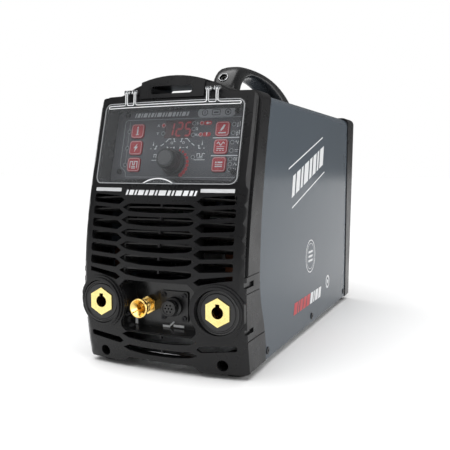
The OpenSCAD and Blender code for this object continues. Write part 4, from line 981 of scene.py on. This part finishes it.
def cover_edge_highlights(inks_and_highlights):
    """Painted highlights on the clear cover: a bright double line along its top that climbs
    round the hinge lugs, and lines along its rim and thumb lip."""
    place = on_front("clear_cover")
    # heights of the two lines, and where they turn into each other
    line, lower, end = 288.2, 285.5, 80.6
    half = ([(x, line) for x in (78, 72, 66, 60.4)] + [(58.2, line + 0.4)]
            + lug_path(*LUG_RIGHT, line) + [(54.2, line), (50.6, line - 0.1), (47, line)]
            + lug_path(*LUG_LEFT, line) + [(43, line + 0.4), (40.8, line)]
            + [(x, line) for x in (34, 26, 18, 9)])
    left = [(-x, z) for x, z in reversed(half)]
    turn = (line - lower) / 2
    path = (arc(end, line - turn, turn, -90, 90, 6) + half + [(0, line)] + left
            + arc(-end, line - turn, turn, 90, 270, 6)
            + [(x, lower) for x in range(-78, 79, 6)])
    # painted highlight along the cover's top edge and round the hinge lugs
    p = Print("cover_top_highlight", place, low=0.0, high=0.5)
    p.band(path, 0.85, closed=True)
    p.done(inks_and_highlights["edge"], "cover")
    low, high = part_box("clear_cover")
    side, foot, top = high.x / MM - 0.75, low.z / MM - RAISED + 0.75, 291.3 - 0.75
    corner = 7.2
    bottom = [(side - corner - i * 6.6, foot) for i in range(1, 24)]
    upper = [(-side + corner + i * 6.6, top) for i in range(1, 24)]
    # dimmer painted highlight round the cover's rim
    rim = Print("cover_rim_highlight", place, low=0.0, high=0.25)
    rim.band(arc(side - corner, foot + corner, corner, 0, -90, 6) + bottom
             + arc(-side + corner, foot + corner, corner, -90, -180, 6)
             + arc(-side + corner, top - corner, corner, 180, 90, 6) + upper
             + arc(side - corner, top - corner, corner, 90, 0, 6), 0.7, closed=True)
    rim.done(inks_and_highlights["dim_highlight"], "cover")
    # painted highlight on the crescent of the thumb lip
    lip = Print("cover_lip_highlight", place, low=0.0, high=0.3)
    lip.band(arc(0, 172.8, 34.2, 123, 57, 16), 1.1)
    lip.done(inks_and_highlights["edge"], "cover")


# ---------------------------------------------------------------- stage

def make_floor():
    size = 14.0
    mesh = bmesh.new()
    bmesh.ops.create_grid(mesh, x_segments=4, y_segments=4, size=size)
    data = bpy.data.meshes.new("floor")
    mesh.to_mesh(data)
    mesh.free()
    floor = bpy.data.objects.new("floor", data)
    m = Nodes("floor_pale")
    cloud = m.noise(1.5, detail=2)
    m.set(Base_Color=m.colours(cloud, (0.90, 0.90, 0.90), (0.93, 0.93, 0.93)))
    m.set(Roughness=m.spread(cloud, 0.3, 0.7, 0.55, 0.65), Specular_IOR_Level=0.25)
    data.materials.append(m.material)
    floor.location.z = cad_box[0][2]
    scene.collection.objects.link(floor)


ROOM_LIGHT = 0.15
SUN_POWER = 3.6
SUN_AIM = (0.12, 0.2, -1)


def area_light(name, place, target, size, power):
    lamp = bpy.data.lights.new(name, "AREA")
    lamp.shape = "RECTANGLE"
    lamp.size, lamp.size_y = size
    lamp.energy = power
    light = bpy.data.objects.new(name, lamp)
    light.location = place
    aim = Vector(target) - Vector(place)
    light.rotation_euler = aim.to_track_quat("-Z", "Y").to_euler()
    scene.collection.objects.link(light)


def make_sky():
    """White where the camera sees it, and a dimmer even room for everything else."""
    world = bpy.data.worlds.new("studio")
    world.use_nodes = True
    tree = world.node_tree
    sky = tree.nodes["Background"]
    sky.inputs["Color"].default_value = (1, 1, 1, 1)
    path = tree.nodes.new("ShaderNodeLightPath")
    level = tree.nodes.new("ShaderNodeMapRange")
    tree.links.new(path.outputs["Is Camera Ray"], level.inputs[0])
    level.inputs[3].default_value = ROOM_LIGHT
    level.inputs[4].default_value = 1.0
    tree.links.new(level.outputs[0], sky.inputs["Strength"])
    scene.world = world


def make_lights():
    """A wide soft sun from above and in front, and three large soft lights round the sides."""
    make_sky()
    lamp = bpy.data.lights.new("sun", "SUN")
    lamp.energy = SUN_POWER
    lamp.angle = radians(80)
    sun = bpy.data.objects.new("sun", lamp)
    sun.rotation_euler = Vector(SUN_AIM).to_track_quat("-Z", "Y").to_euler()
    scene.collection.objects.link(sun)
    middle = (0, 0, 0.17)
    area_light("soft_right", (1.9, -0.85, 0.75), middle, (1.0, 1.2), 17)
    area_light("soft_left", (-1.3, -1.7, 0.6), middle, (1.4, 1.4), 2.6)
    area_light("rim_left", (-2.0, 0.9, 0.6), middle, (0.8, 1.4), 5)


def set_view():
    scene.view_settings.view_transform = "Standard"
    scene.view_settings.look = "None"


# ---------------------------------------------------------------- build

make_camera()
set_view()
materials = make_materials()
own_materials = make_own_materials()
inks_and_highlights = make_inks_and_highlights()
slots = slot_of_each_node()
for node_name, node in frame["nodes"].items():
    finish_node(node_name, node, own_materials.get(node_name, materials[slots[node_name]]))
panel_lines(inks_and_highlights)
panel_heading(inks_and_highlights)
panel_signs(inks_and_highlights)
panel_reds(inks_and_highlights)
lit_lamps(inks_and_highlights)
display_digits(inks_and_highlights)
key_prints(inks_and_highlights)
front_band(inks_and_highlights)
side_prints(inks_and_highlights, 1, "right")
side_prints(inks_and_highlights, -1, "left")
pocket_signs(inks_and_highlights)
knob_face(inks_and_highlights)
cover_edge_highlights(inks_and_highlights)
make_floor()
make_lights()
